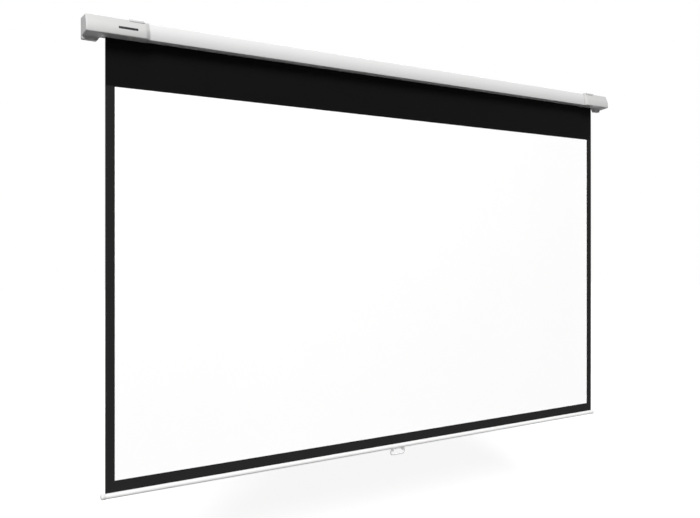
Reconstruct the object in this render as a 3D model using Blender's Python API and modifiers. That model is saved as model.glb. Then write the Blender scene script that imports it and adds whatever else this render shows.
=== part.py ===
"""A wall-hung projection screen on a spring roller, pulled down by its handle.

Metres, +Z up. The origin is on the case's flat back, at the middle of the case. +X runs along the
case to the viewer's right, and the viewer stands on the -Y side. The screen is fully down.
"""

import math

import bmesh
import bpy
from mathutils import Matrix, Vector

# Sheet
image_width = 2.214
image_height = 1.245
black_drop = 0.152
side_border = 0.030
bottom_border = 0.036
sheet_thickness = 0.00045

# Case section
case_height = 0.0525
case_top_depth = 0.050
case_bottom_depth = 0.0555
case_front_bulge = 0.005
case_wall = 0.0014
case_edge_radius = 0.002
sheet_from_back = 0.014
slot_width = 0.014
slot_lip = 0.004
hanger_recess_bottom = 0.008
port_outer_radius = 0.0032
port_inner_radius = 0.0017
port_mouth_degrees = 70.0
port_bite = 0.0004
front_port_setback = 0.0045

# Case length
plate_thickness = 0.002
left_end_room = 0.0548
right_end_room = 0.0403

# End covers
cover_wall = 0.0011
left_cover_length = 0.200
right_cover_length = 0.1556
mouth_length = 0.015
mouth_swell = 0.2
cover_top_proud = 0.004
crease_height = 0.0025
crease_proud = 0.007
cover_bottom_proud = 0.0125
cover_lower_bulge = 0.0016
cover_low_radius = 0.004
cover_end_radius = 0.004
rib_thickness = 0.0016
rib_inset = 0.010
rib_clearance = 0.0005
block_slope = 0.010
block_depth = 0.019
block_drop = 0.014
block_shelf_drop = 0.006
block_draft = 0.001
block_back_radius = 0.003
label_length = 0.061
label_height = 0.0075
label_thickness = 0.0009
label_from_end = 0.0995
label_below_crease = 0.001
label_pad = 0.0015

# Hangers
hanger_width = 0.046
hanger_thickness = 0.0035
hanger_hook = 0.006
hanger_bend_radius = 0.0025
hanger_hole_radius = 0.0025
hanger_inset = 0.040

# Roller
roller_radius = 0.016
roller_wall = 0.0012
roller_past_sheet = 0.0015
wraps_thickness = 0.0007
channel_radius = 0.0021
channel_wall = 0.0011
channel_mouth = 0.0020
channel_cover = 0.0009
keder_radius = 0.0017

# Lock at the spring end
cup_depth = 0.0085
cup_wall = 0.0015
cup_base = 0.0022
spigot_length = 0.018
ratchet_radius = 0.0066
lock_thickness = 0.0035
pawl_pivot_radius = 0.011
pawl_length = 0.0086
pawl_heel_radius = 0.0020
pawl_tip_width = 0.0018
pawl_engaged_degrees = 151.2
pawl_throw_degrees = 20.0
pawl_pin_radius = 0.0010

# Spring and its rod
arbor_radius = 0.003
arbor_square = 0.006
arbor_past_plate = 0.006
anchor_radius = 0.0082
anchor_length = 0.010
drive_length = 0.024
spring_radius = 0.0068
spring_wire_radius = 0.0010
spring_turns = 30
spring_pitch = 0.0090
spring_points_per_turn = 8
spring_tail = 0.002
clip_radius = 0.0055
clip_thickness = 0.0012

# Free end of the roller
flange_thickness = 0.003
bush_radius = 0.006
idler_radius = 0.004
idler_head_radius = 0.0065
idler_head_thickness = 0.0025

# Screws
screw_radius = 0.0014
screw_length = 0.009
screw_head_radius = 0.0027
screw_head_height = 0.0018
cover_screw_inset = 0.060
cover_screw_from_front = 0.014

# Bottom bar
bar_radius = 0.009
bar_wall = 0.0012
bar_slot = 0.0024
bar_past_sheet = 0.007
hem_rod_radius = 0.0022
cap_radius = 0.010
cap_reach = 0.008
cap_dome = 0.006

# Handle
bracket_length = 0.062
bracket_thickness = 0.0018
bracket_half_angle = 50.0
lug_spacing = 0.050
lug_width = 0.008
lug_radius = 0.0048
pivot_below_bracket = 0.0035
handle_wire_radius = 0.0023
handle_half_width = 0.034
handle_drop = 0.0190
handle_foot_inset = 0.002
handle_foot_rise = 0.0014
handle_shoulder_radius = 0.0045
handle_corner_radius = 0.007
handle_bow_radius = 0.45
bracket_screw_spacing = 0.024

# Clearances
gap = 0.0003
running_gap = 0.0004
pawl_side_gap = 0.0005
notch_gap = 0.0004

# Smoothness
arc_steps = 12
fillet_steps = 4
lower_face_steps = 6
round_sides = 32
small_sides = 16


# Sizes that follow from the ones above
half_height = case_height / 2
case_middle_depth = (case_top_depth + case_bottom_depth) / 2 + case_front_bulge
hanger_recess = hanger_thickness + gap
sheet_y = -sheet_from_back
slot_back = sheet_y + slot_width / 2
slot_front = sheet_y - slot_width / 2
sheet_half = image_width / 2 + side_border
wraps_outer = roller_radius + gap + wraps_thickness
sheet_radius = wraps_outer + gap + sheet_thickness / 2
roller_y = sheet_y - sheet_radius
roller_inner = roller_radius - roller_wall
tube_half = sheet_half + roller_past_sheet
cup_start = tube_half + gap
cup_end = cup_start + cup_base + cup_depth
case_half = cup_end + pawl_side_gap
plate_inner = case_half + gap
plate_outer = plate_inner + plate_thickness
left_end = plate_outer + gap + left_end_room + cover_wall
right_end = plate_outer + gap + right_end_room + cover_wall
cover_rise = gap + cover_wall
block_top_x = plate_outer + 2 * gap
block_bottom_x = block_top_x + block_slope
left_cover_x = left_cover_length - left_end
right_cover_x = right_end - right_cover_length
bar_z = -(half_height + black_drop + image_height + bottom_border + bar_radius)
sheet_bottom = bar_z + hem_rod_radius + gap
bar_half = sheet_half + bar_past_sheet
bracket_outer = bar_radius + gap + bracket_thickness
pivot_z = bar_z - bracket_outer - pivot_below_bracket
channel_outer = channel_radius + channel_wall
channel_centre = roller_radius - channel_cover - channel_radius
bore_radius = arbor_radius + running_gap
lock_x = -(cup_start + cup_base + pawl_side_gap)


def clear_scene():
    """Start from an empty file."""
    for old in list(bpy.data.objects):
        bpy.data.objects.remove(old, do_unlink=True)


def collection(name):
    """A new collection linked to the scene."""
    made = bpy.data.collections.new(name)
    bpy.context.scene.collection.children.link(made)
    return made


clear_scene()
PARTS = collection("projection_screen")
CUTTERS = collection("cutters")


def material(name, colour, roughness, metallic=0.0):
    """A Principled material."""
    made = bpy.data.materials.new(name)
    made.use_nodes = True
    shader = made.node_tree.nodes["Principled BSDF"]
    shader.inputs["Base Color"].default_value = (*colour, 1.0)
    shader.inputs["Roughness"].default_value = roughness
    shader.inputs["Metallic"].default_value = metallic
    return made


WHITE_METAL = material("white_painted_metal", (0.86, 0.86, 0.86), 0.35)
WHITE_PLASTIC = material("white_plastic", (0.82, 0.82, 0.82), 0.42)
DARK_STRIP = material("dark_strip", (0.03, 0.03, 0.03), 0.30)
ZINC = material("zinc_steel", (0.62, 0.63, 0.64), 0.35, 1.0)
SPRING_STEEL = material("spring_steel", (0.35, 0.35, 0.36), 0.30, 1.0)
ALUMINIUM = material("mill_aluminium", (0.75, 0.76, 0.77), 0.32, 1.0)
BLACK_PLASTIC = material("black_plastic", (0.04, 0.04, 0.04), 0.45)
BUSH_PLASTIC = material("bush_plastic", (0.88, 0.86, 0.80), 0.40)
SCREEN_CLOTH = material("screen_cloth", (0.90, 0.90, 0.90), 0.85)


# Outlines are lists of (y, z) points

def arc_between(start, end, sagitta, steps=arc_steps):
    """Points of a circular arc, bulging to the right of the way from start to end."""
    start, end = Vector(start), Vector(end)
    chord = end - start
    outward = Vector((chord.y, -chord.x)).normalized()
    radius = (chord.length ** 2 / 4 + sagitta ** 2) / (2 * sagitta)
    centre = (start + end) / 2 + outward * (sagitta - radius)
    half_angle = math.asin(chord.length / 2 / radius)
    points = []
    for step in range(steps + 1):
        angle = half_angle * (2 * step / steps - 1)
        along = chord.normalized() * radius * math.sin(angle)
        points.append(tuple(centre + along + outward * radius * math.cos(angle)))
    return points


def offset_outline(points, distance):
    """A closed outline moved outward by a distance, with mitred corners."""
    count = len(points)
    area = sum(points[i - 1][0] * points[i][1] - points[i][0] * points[i - 1][1] for i in range(count))
    side = 1.0 if area > 0 else -1.0
    moved = []
    for i in range(count):
        here = Vector(points[i])
        before = (here - Vector(points[i - 1])).normalized()
        after = (Vector(points[(i + 1) % count]) - here).normalized()
        normal_before = Vector((before.y, -before.x)) * side
        normal_after = Vector((after.y, -after.x)) * side
        mitre = (normal_before + normal_after).normalized()
        moved.append(tuple(here + mitre * distance / mitre.dot(normal_before)))
    return moved


def rounded(points, radii, closed=True):
    """The outline with an arc of the given radius at each corner that has one."""
    count = len(points)
    result = []
    for i in range(count):
        radius = radii.get(i, 0.0)
        if radius <= 0.0 or (not closed and i in (0, count - 1)):
            result.append(tuple(points[i]))
            continue
        here = Vector(points[i])
        to_before = (Vector(points[i - 1]) - here).normalized()
        to_after = (Vector(points[(i + 1) % count]) - here).normalized()
        half_turn = to_before.angle(to_after) / 2
        reach = radius / math.tan(half_turn)
        bisector = (to_before + to_after).normalized()
        centre = here + bisector * radius / math.sin(half_turn)
        first = here + to_before * reach - centre
        last = here + to_after * reach - centre
        sweep = first.angle_signed(last)
        for step in range(fillet_steps + 1):
            turn = Matrix.Rotation(-sweep * step / fillet_steps, 2)
            result.append(tuple(centre + turn @ first))
    return result


def circle_points(centre, radius, sides, start=0.0, sweep=360.0):
    """Points round a circle, or along an arc of it."""
    whole = abs(sweep) >= 360.0
    count = sides if whole else sides + 1
    points = []
    for i in range(count):
        angle = math.radians(start + sweep * i / sides)
        points.append((centre[0] + radius * math.cos(angle), centre[1] + radius * math.sin(angle)))
    return points


# Solids

def keep(obj, shade, sharp_degrees=35.0):
    """Put an object among the parts, with its material and shading."""
    for holder in list(obj.users_collection):
        holder.objects.unlink(obj)
    PARTS.objects.link(obj)
    obj.data.materials.clear()
    obj.data.materials.append(shade)
    obj.data.shade_smooth()
    obj.data.set_sharp_from_angle(angle=math.radians(sharp_degrees))
    return obj


def mesh_object(name, mesh, location=(0.0, 0.0, 0.0)):
    """A mesh object, kept with the cutters until keep() moves it."""
    obj = bpy.data.objects.new(name, mesh)
    obj.location = location
    CUTTERS.objects.link(obj)
    obj.hide_render = True
    obj.display_type = "WIRE"
    return obj


def part(obj, shade):
    """Turn a working object into a part of the model."""
    obj.hide_render = False
    obj.display_type = "TEXTURED"
    return keep(obj, shade)


def from_bmesh(name, shape, location=(0.0, 0.0, 0.0)):
    """An object from a bmesh, with its faces pointing out."""
    bmesh.ops.recalc_face_normals(shape, faces=shape.faces)
    if shape.calc_volume(signed=True) < 0.0:
        bmesh.ops.reverse_faces(shape, faces=shape.faces)
    mesh = bpy.data.meshes.new(name)
    shape.to_mesh(mesh)
    shape.free()
    return mesh_object(name, mesh, location)


def box(name, low, high):
    """A box between two corners."""
    low, high = Vector(low), Vector(high)
    shape = bmesh.new()
    bmesh.ops.create_cube(shape, size=1.0, matrix=Matrix.Diagonal((*(high - low), 1.0)))
    return from_bmesh(name, shape, (low + high) / 2)


def rod(name, radius, x_from, x_to, y=0.0, z=0.0, sides=round_sides):
    """A cylinder along X."""
    length = x_to - x_from
    along_x = Matrix.Rotation(math.radians(90.0), 4, "Y")
    shape = bmesh.new()
    bmesh.ops.create_cone(shape, cap_ends=True, segments=sides, radius1=radius, radius2=radius,
                          depth=length, matrix=along_x)
    return from_bmesh(name, shape, (x_from + length / 2, y, z))


def prism(name, outline, x_from, x_to):
    """A (y, z) outline extruded along X, from a filled flat curve."""
    flat = bpy.data.curves.new(name, "CURVE")
    flat.dimensions = "2D"
    flat.fill_mode = "BOTH"
    flat.extrude = abs(x_to - x_from) / 2
    flat.resolution_u = 1
    flat.render_resolution_u = 0
    spline = flat.splines.new("POLY")
    spline.points.add(len(outline) - 1)
    for point, (y, z) in zip(spline.points, outline):
        point.co = (y, z, 0.0, 1.0)
    spline.use_cyclic_u = True
    curve = bpy.data.objects.new(name, flat)
    curve.location = ((x_from + x_to) / 2, 0.0, 0.0)
    curve.rotation_euler = (math.radians(90.0), 0.0, math.radians(90.0))
    return meshed(curve)


def meshed(curve):
    """A curve object made a mesh object with welded caps, in its place."""
    CUTTERS.objects.link(curve)
    graph = bpy.context.evaluated_depsgraph_get()
    mesh = bpy.data.meshes.new_from_object(curve.evaluated_get(graph))
    shape = bmesh.new()
    shape.from_mesh(mesh)
    bmesh.ops.remove_doubles(shape, verts=shape.verts, dist=1e-6)
    bmesh.ops.recalc_face_normals(shape, faces=shape.faces)
    shape.to_mesh(mesh)
    shape.free()
    name = curve.name
    place = curve.matrix_world.copy()
    bpy.data.objects.remove(curve)
    obj = mesh_object(name, mesh)
    obj.name = name
    obj.matrix_world = place
    return obj


def strip(name, outline, x_from, x_to, thickness, side):
    """An open sheet along a (y, z) path, given its thickness by Solidify."""
    shape = bmesh.new()
    corners = [shape.verts.new((x_from, y, z)) for y, z in outline]
    edges = [shape.edges.new(pair) for pair in zip(corners, corners[1:])]
    swept = bmesh.ops.extrude_edge_only(shape, edges=edges)
    ends = [item for item in swept["geom"] if isinstance(item, bmesh.types.BMVert)]
    bmesh.ops.translate(shape, verts=ends, vec=(x_to - x_from, 0.0, 0.0))
    mesh = bpy.data.meshes.new(name)
    shape.to_mesh(mesh)
    shape.free()
    obj = mesh_object(name, mesh)
    wall = obj.modifiers.new("wall", "SOLIDIFY")
    wall.thickness = thickness
    wall.offset = side
    wall.use_even_offset = True
    return obj


def turned(name, profile, location, toward=1.0, sides=round_sides, closed=False):
    """A profile of (radius, along X) points turned about an X axis. toward -1 faces it to -X."""
    mesh = bpy.data.meshes.new(name)
    points = [(radius, 0.0, along) for radius, along in profile]
    edges = [(i, i + 1) for i in range(len(points) - 1)]
    if closed:
        edges.append((len(points) - 1, 0))
    mesh.from_pydata(points, edges, [])
    obj = mesh_object(name, mesh, location)
    obj.rotation_euler = (0.0, math.radians(90.0) * toward, 0.0)
    screw = obj.modifiers.new("turn", "SCREW")
    screw.axis = "Z"
    screw.steps = sides
    screw.render_steps = sides
    screw.use_merge_vertices = True
    screw.merge_threshold = 1e-6
    screw.use_smooth_shade = True
    return obj


def loft(name, sections):
    """A closed body through (x, outline) sections that have the same number of points."""
    shape = bmesh.new()
    rings = []
    for x, outline in sections:
        rings.append([shape.verts.new((x, y, z)) for y, z in outline])
    for ring, following in zip(rings, rings[1:]):
        for i in range(len(ring)):
            shape.faces.new((ring[i - 1], ring[i], following[i], following[i - 1]))
    shape.faces.new(rings[0])
    shape.faces.new(rings[-1])
    return from_bmesh(name, shape)


def combine(obj, other, operation):
    """A Boolean of two objects, kept as a modifier."""
    step = obj.modifiers.new(operation.lower(), "BOOLEAN")
    step.operation = operation
    step.solver = "EXACT"
    step.object = other
    return obj


def cut(obj, *cutters):
    """Cut each cutter out of the object."""
    for cutter in cutters:
        combine(obj, cutter, "DIFFERENCE")
    return obj


def fuse(obj, *others):
    """Join each other object to the object."""
    for other in others:
        combine(obj, other, "UNION")
    return obj


# Case

def case_corners():
    """The case's outer outline without rounding, from its lower back corner."""
    front = arc_between((-case_top_depth, half_height), (-case_bottom_depth, -half_height), case_front_bulge)
    return [(0.0, -half_height), (0.0, half_height), *front]


def case_path():
    """The case's sheet from one slot lip round to the other, with the hangers' recess in its back."""
    front = case_corners()[2:]
    path = [
        (slot_back, -half_height + slot_lip),
        (slot_back, -half_height),
        (0.0, -half_height),
        (0.0, hanger_recess_bottom),
        (-hanger_recess, hanger_recess_bottom),
        (-hanger_recess, half_height),
        *front,
        (slot_front, -half_height),
        (slot_front, -half_height + slot_lip),
    ]
    top_corner = 6
    bottom_corner = top_corner + len(front) - 1
    radii = {2: case_edge_radius, 5: case_edge_radius, top_corner: case_edge_radius,
             bottom_corner: case_edge_radius}
    return rounded(path, radii, closed=False)


def port_centres():
    """The three screw ports: at the back of the top, the front of the top, the front of the bottom."""
    inset = case_wall + port_outer_radius - port_bite
    return [
        (-hanger_recess - inset, half_height - inset),
        (-case_top_depth + front_port_setback, half_height - inset),
        (-case_bottom_depth + front_port_setback, -half_height + inset),
    ]


def port_outline(centre):
    """A screw port's C, open towards the roller."""
    facing = math.degrees(math.atan2(-centre[1], roller_y - centre[0]))
    start = facing + port_mouth_degrees / 2
    sweep = 360.0 - port_mouth_degrees
    outer = circle_points(centre, port_outer_radius, small_sides, start, sweep)
    inner = circle_points(centre, port_inner_radius, small_sides, start + sweep, -sweep)
    return outer + inner


def make_case():
    """The case: an extrusion with a slot below, screw ports inside and a recess for the hangers."""
    shell = strip("case_shell", case_path(), -case_half, case_half, case_wall, 1.0)
    for index, centre in enumerate(port_centres()):
        port = prism(f"port_{index}", port_outline(centre), -case_half, case_half)
        fuse(shell, port)
    for x in (left_cover_x - cover_screw_inset, right_cover_x + cover_screw_inset):
        cut(shell, cover_screw_hole("shell_screw_hole", x))
    part(shell, WHITE_METAL)


# End covers

def cover_corners(swell=1.0, drop=0.0):
    """A cover's outer outline: how far it stands out from the case's front, and how low its block hangs."""
    rise = cover_rise
    low = -half_height - rise
    top_front = (-case_top_depth - rise - swell * cover_top_proud, half_height + rise)
    crease = (-case_middle_depth - rise - swell * crease_proud, crease_height)
    low_front = (-case_bottom_depth - rise - swell * cover_bottom_proud, low)
    lower_face = arc_between(crease, low_front, cover_lower_bulge, lower_face_steps)
    shelf_end = (-block_depth - block_draft, low - drop * block_shelf_drop)
    block_front = (-block_depth, low - drop * block_drop)
    low_back = (0.0, low - drop * block_drop)
    return [low_back, (0.0, half_height + rise), top_front, *lower_face, shelf_end, block_front]


def cover_outline(swell=1.0, drop=0.0, inset=0.0):
    """A cover's rounded outline, moved in by an inset."""
    corners = offset_outline(cover_corners(swell, drop), -inset)
    radii = {0: block_back_radius, 1: case_edge_radius, 2: case_edge_radius, 3 + lower_face_steps: cover_low_radius}
    return rounded(corners, {corner: max(radius - inset, gap) for corner, radius in radii.items()})


def rounded_end(side, end, radius, inset=0.0):
    """Sections that round a cover's outer end."""
    sections = []
    for step in range(fillet_steps + 1):
        angle = math.radians(90.0) * step / fillet_steps
        x = end - radius * (1.0 - math.sin(angle))
        sections.append((side * x, cover_outline(1.0, 1.0, inset + radius * (1.0 - math.cos(angle)))))
    return sections


def cover_screw_hole(name, x):
    """A hole through the underside of a cover and the case."""
    y = -case_bottom_depth + cover_screw_from_front
    shape = bmesh.new()
    depth = 4 * (cover_wall + case_wall)
    bmesh.ops.create_cone(shape, cap_ends=True, segments=small_sides, radius1=screw_radius + gap,
                          radius2=screw_radius + gap, depth=depth)
    return from_bmesh(name, shape, (x, y, -half_height))


def rib_outline():
    """A rib that fills the space between the cover's front and the case's front."""
    case_front = offset_outline(case_corners(), rib_clearance)[2:]
    sunk = offset_outline(cover_corners(), -cover_wall / 2)[2:4 + lower_face_steps]
    over = (case_front[0][0], sunk[0][1])
    under = (case_front[-1][0], sunk[-1][1])
    radii = {1: case_edge_radius - cover_wall / 2, len(sunk): cover_low_radius - cover_wall / 2}
    cover_front = rounded([over, *sunk, under], radii, closed=False)
    return [*cover_front, *reversed(case_front)]


def make_cover(name, side, end, inner_x, screw_x, *pads):
    """An end cover: a ribbed sleeve round the case's end, closed outside, with a block under its end."""
    full_x = inner_x + side * mouth_length
    outside = [
        (inner_x, cover_outline(mouth_swell)),
        (full_x, cover_outline()),
        (side * block_top_x, cover_outline()),
        (side * block_bottom_x, cover_outline(1.0, 1.0)),
        *rounded_end(side, end, cover_end_radius),
    ]
    cover = loft(name, outside)

    inset = cover_wall + gap
    hollow = [
        (inner_x + side * cover_wall, cover_outline(mouth_swell, 0.0, inset)),
        (full_x, cover_outline(1.0, 0.0, inset)),
        (side * (block_top_x + cover_wall), cover_outline(1.0, 0.0, inset)),
        (side * (block_bottom_x + cover_wall), cover_outline(1.0, 1.0, inset)),
        *rounded_end(side, end - cover_wall, cover_end_radius - cover_wall, inset),
    ]
    sleeve_mouth = inner_x - side * cover_end_radius
    case_outline = offset_outline(case_corners(), gap)
    over_case = prism(f"{name}_over_case", case_outline, sleeve_mouth, side * (plate_outer + gap))
    cut(cover, loft(f"{name}_room", hollow), over_case)

    rib_places = (full_x + side * rib_inset, side * (case_half - rib_inset))
    for index, x in enumerate(rib_places):
        fuse(cover, prism(f"{name}_rib_{index}", rib_outline(), x, x + side * rib_thickness))
    fuse(cover, *pads)

    slot_low = (min(sleeve_mouth, side * case_half), slot_front - gap, -case_height)
    slot_high = (max(sleeve_mouth, side * case_half), case_wall, -half_height + case_wall)
    slot = box(f"{name}_slot", slot_low, slot_high)
    recess_low = (slot_low[0], -hanger_recess, hanger_recess_bottom)
    recess_high = (slot_high[0], case_wall, case_height)
    recess = box(f"{name}_recess", recess_low, recess_high)
    cut(cover, slot, recess, cover_screw_hole(f"{name}_hole", screw_x))
    return cover


def label_outline(grow=0.0):
    """The strip's outline as (x, z), with rounded ends."""
    half = label_length / 2 + grow
    high = label_height / 2 + grow
    corners = [(-half, -high), (half, -high), (half, high), (-half, high)]
    radius = label_height / 4
    return rounded(corners, {0: radius, 1: radius, 2: radius, 3: radius})


def label_place():
    """The middle (y, z) of the strip's front on the cover's lower face, and the face's lean there."""
    face = [point for point in cover_corners()[3:] if point[1] > -half_height]
    high = crease_height - label_below_crease
    levels = (high, high - label_height)
    depths = []
    for level in levels:
        for above, below in zip(face, face[1:]):
            if below[1] <= level <= above[1]:
                share = (above[1] - level) / (above[1] - below[1])
                depths.append(above[0] + share * (below[0] - above[0]))
                break
    lean = math.atan2(depths[0] - depths[1], label_height)
    return (sum(depths) / 2, sum(levels) / 2), lean


def label_plate(name, grow, front, back):
    """A plate with the strip's outline, between two depths behind the cover's lower face."""
    flat = bpy.data.curves.new(name, "CURVE")
    flat.dimensions = "2D"
    flat.fill_mode = "BOTH"
    flat.extrude = (back - front) / 2
    flat.resolution_u = 1
    flat.render_resolution_u = 0
    outline = label_outline(grow)
    spline = flat.splines.new("POLY")
    spline.points.add(len(outline) - 1)
    for point, (x, z) in zip(spline.points, outline):
        point.co = (x, z, 0.0, 1.0)
    spline.use_cyclic_u = True
    curve = bpy.data.objects.new(name, flat)
    (y, z), lean = label_place()
    depth = (front + back) / 2
    x = label_from_end + label_length / 2 - left_end
    curve.location = (x, y + depth * math.cos(lean), z - depth * math.sin(lean))
    curve.rotation_euler = (math.radians(90.0) - lean, 0.0, 0.0)
    return meshed(curve)


def make_covers():
    """Both covers, the dark strip in the left one and the screw under each."""
    left_screw_x = left_cover_x - cover_screw_inset
    right_screw_x = right_cover_x + cover_screw_inset
    floor = label_thickness + gap
    pad = label_plate("strip_pad", label_pad, cover_wall / 2, floor + cover_wall)
    left = make_cover("left_end_cover", -1.0, left_end, left_cover_x, left_screw_x, pad)
    right = make_cover("right_end_cover", 1.0, right_end, right_cover_x, right_screw_x)
    cut(left, label_plate("strip_pocket", gap, -cover_wall, floor))
    part(left, WHITE_PLASTIC)
    part(right, WHITE_PLASTIC)
    part(label_plate("label_strip", 0.0, 0.0, label_thickness), DARK_STRIP)
    for name, x in (("left_cover_screw", left_screw_x), ("right_cover_screw", right_screw_x)):
        y = -case_bottom_depth + cover_screw_from_front
        z = -half_height - cover_rise - gap
        screw = screw_object(name, (x, y, z), screw_radius * 3 + cover_rise)
        screw.rotation_euler = (math.radians(180.0), 0.0, 0.0)
        part(screw, ZINC)


def screw_object(name, location, length):
    """A pan-head screw with its head above the location and its shank below it."""
    head = arc_between((0.0, screw_head_height), (screw_head_radius, 0.0), -screw_head_height / 3, fillet_steps)
    shank = [(screw_radius, 0.0), (screw_radius, -length + screw_radius), (0.0, -length)]
    profile = [head[0], *head[1:], *shank]
    obj = turned(name, profile, location, sides=small_sides)
    obj.rotation_euler = (0.0, 0.0, 0.0)
    return obj


# End plates and hangers

def make_plates():
    """The steel plates that close the case, hold the roller and are screwed to the ports."""
    outline = rounded(offset_outline(case_corners(), -gap), {0: case_edge_radius, 1: case_edge_radius})
    for name, side in (("left", -1.0), ("right", 1.0)):
        near, far = side * plate_inner, side * plate_outer
        plate = prism(f"{name}_end_plate", outline, near, far)
        reach = side * plate_thickness
        for index, (y, z) in enumerate(port_centres()):
            span = sorted((near - reach, far + reach))
            hole = rod(f"{name}_plate_hole_{index}", screw_radius + gap, *span, y, z, small_sides)
            cut(plate, hole)
            screw = screw_object(f"{name}_plate_screw_{index + 1}", (far + side * gap, y, z), screw_length)
            screw.rotation_euler = (0.0, math.radians(90.0) * side, 0.0)
            part(screw, ZINC)
        span = sorted((near - reach, far + reach))
        if side < 0:
            half = arbor_square / 2 + gap
            low = (span[0], roller_y - half, -half)
            high = (span[1], roller_y + half, half)
            cut(plate, box("arbor_hole", low, high))
        else:
            cut(plate, rod("idler_hole", idler_radius + gap, *span, roller_y, 0.0))
        part(plate, ZINC)


def hanger_path():
    """The hanger's middle line: up the recess in the back, over the cover's top, down its front."""
    half = hanger_thickness / 2
    middle = offset_outline(cover_corners(), gap + half)
    top_front, crease = Vector(middle[2]), Vector(middle[3])
    hook_end = top_front + (crease - top_front).normalized() * hanger_hook
    leg_y = -half
    corners = [
        (leg_y, hanger_recess_bottom + 2 * gap),
        (leg_y, middle[1][1]),
        tuple(top_front),
        tuple(hook_end),
    ]
    bend = hanger_bend_radius
    return rounded(corners, {1: bend, 2: bend}, closed=False)


def make_hangers():
    """Two bent straps that hook over the case, each with holes for a wall and a ceiling screw."""
    places = (("left_hanger", left_cover_x - hanger_inset), ("right_hanger", right_cover_x + hanger_inset))
    top_z = half_height + cover_rise + gap + hanger_thickness / 2
    leg_z = (hanger_recess_bottom + half_height) / 2
    for name, x in places:
        strap = strip(name, hanger_path(), x - hanger_width / 2, x + hanger_width / 2, hanger_thickness, 0.0)
        depth = 3 * hanger_thickness
        wall_hole = bmesh.new()
        along_y = Matrix.Rotation(math.radians(90.0), 4, "X")
        bmesh.ops.create_cone(wall_hole, cap_ends=True, segments=small_sides, radius1=hanger_hole_radius,
                              radius2=hanger_hole_radius, depth=depth, matrix=along_y)
        ceiling_hole = bmesh.new()
        bmesh.ops.create_cone(ceiling_hole, cap_ends=True, segments=small_sides, radius1=hanger_hole_radius,
                              radius2=hanger_hole_radius, depth=depth)
        cut(strap, from_bmesh(f"{name}_wall_hole", wall_hole, (x, -hanger_thickness / 2, leg_z)))
        cut(strap, from_bmesh(f"{name}_ceiling_hole", ceiling_hole, (x, roller_y, top_z)))
        part(strap, WHITE_METAL)


# Roller

def channel_keyway(name, x_from, x_to, grow):
    """The solid form of the roller's inner channel, for cutting what slides past it."""
    centre_z = channel_centre
    return rod(name, channel_outer + grow, x_from, x_to, roller_y, centre_z, small_sides)


def make_roller():
    """The roller tube, an extrusion with an inner channel that grips the sheet's welt."""
    ring = [(roller_radius, tube_half), (roller_radius, -tube_half), (roller_inner, -tube_half),
            (roller_inner, tube_half)]
    tube = turned("roller_tube", ring, (0.0, roller_y, 0.0), closed=True)
    wall = channel_keyway("channel_wall", -tube_half, tube_half, 0.0)
    within = rod("channel_limit", roller_radius - roller_wall / 2, -2 * tube_half, 2 * tube_half, roller_y, 0.0)
    combine(wall, within, "INTERSECT")
    bore = rod("channel_bore", channel_radius, -2 * tube_half, 2 * tube_half, roller_y, channel_centre, small_sides)
    half_mouth = channel_mouth / 2
    mouth_low = (-2 * tube_half, roller_y - half_mouth, channel_centre)
    mouth_high = (2 * tube_half, roller_y + half_mouth, 2 * roller_radius)
    fuse(tube, wall)
    cut(tube, bore, box("channel_mouth", mouth_low, mouth_high))
    part(tube, ALUMINIUM)

    wraps = [(wraps_outer, sheet_half), (wraps_outer, -sheet_half), (roller_radius + gap, -sheet_half),
             (roller_radius + gap, sheet_half)]
    part(turned("sheet_wraps", wraps, (0.0, roller_y, 0.0), closed=True), SCREEN_CLOTH)
    part(rod("sheet_welt", keder_radius, -sheet_half, sheet_half, roller_y, channel_centre, small_sides),
         BLACK_PLASTIC)


def keyed_plug(name, x_from, x_to, bore):
    """A plug inside the roller, with a keyway round the channel and a bore."""
    plug = rod(name, roller_inner - gap, x_from, x_to, roller_y, 0.0)
    cut(plug, channel_keyway(f"{name}_keyway", x_from - gap, x_to + gap, gap))
    cut(plug, rod(f"{name}_bore", bore, 2 * x_from, x_to + roller_radius, roller_y, 0.0, small_sides))
    return plug


def turned_point(u, v, degrees, about):
    """A pawl's own (u, v) point placed at (y, z), with the pawl turned about its pin."""
    angle = math.radians(degrees)
    y = pawl_pivot_radius + u * math.cos(angle) - v * math.sin(angle)
    z = u * math.sin(angle) + v * math.cos(angle)
    return (roller_y + about * y, about * z)


def finger_outline(degrees, about):
    """A pawl's outline in (y, z): a round heel at its pin and a tapered finger."""
    heel = circle_points((0.0, 0.0), pawl_heel_radius, small_sides // 2, 90.0, 180.0)
    tip_half = pawl_tip_width / 2
    return [turned_point(u, v, degrees, about) for u, v in (*heel, (pawl_length, -tip_half), (pawl_length, tip_half))]


def notch_outline(about):
    """The wheel's notch: all that a finger sweeps on its way in, with clearance."""
    low = pawl_engaged_degrees - pawl_throw_degrees / 2
    heel = pawl_heel_radius + notch_gap
    tip_half = pawl_tip_width / 2 + notch_gap
    reach = pawl_length + notch_gap
    points = [turned_point(0.0, -heel, low, about), turned_point(reach, -tip_half, low, about)]
    for step in range(fillet_steps + 1):
        degrees = low + (pawl_engaged_degrees - low) * step / fillet_steps
        points.append(turned_point(reach, tip_half, degrees, about))
    points.append(turned_point(0.0, heel, pawl_engaged_degrees, about))
    return points


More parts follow.
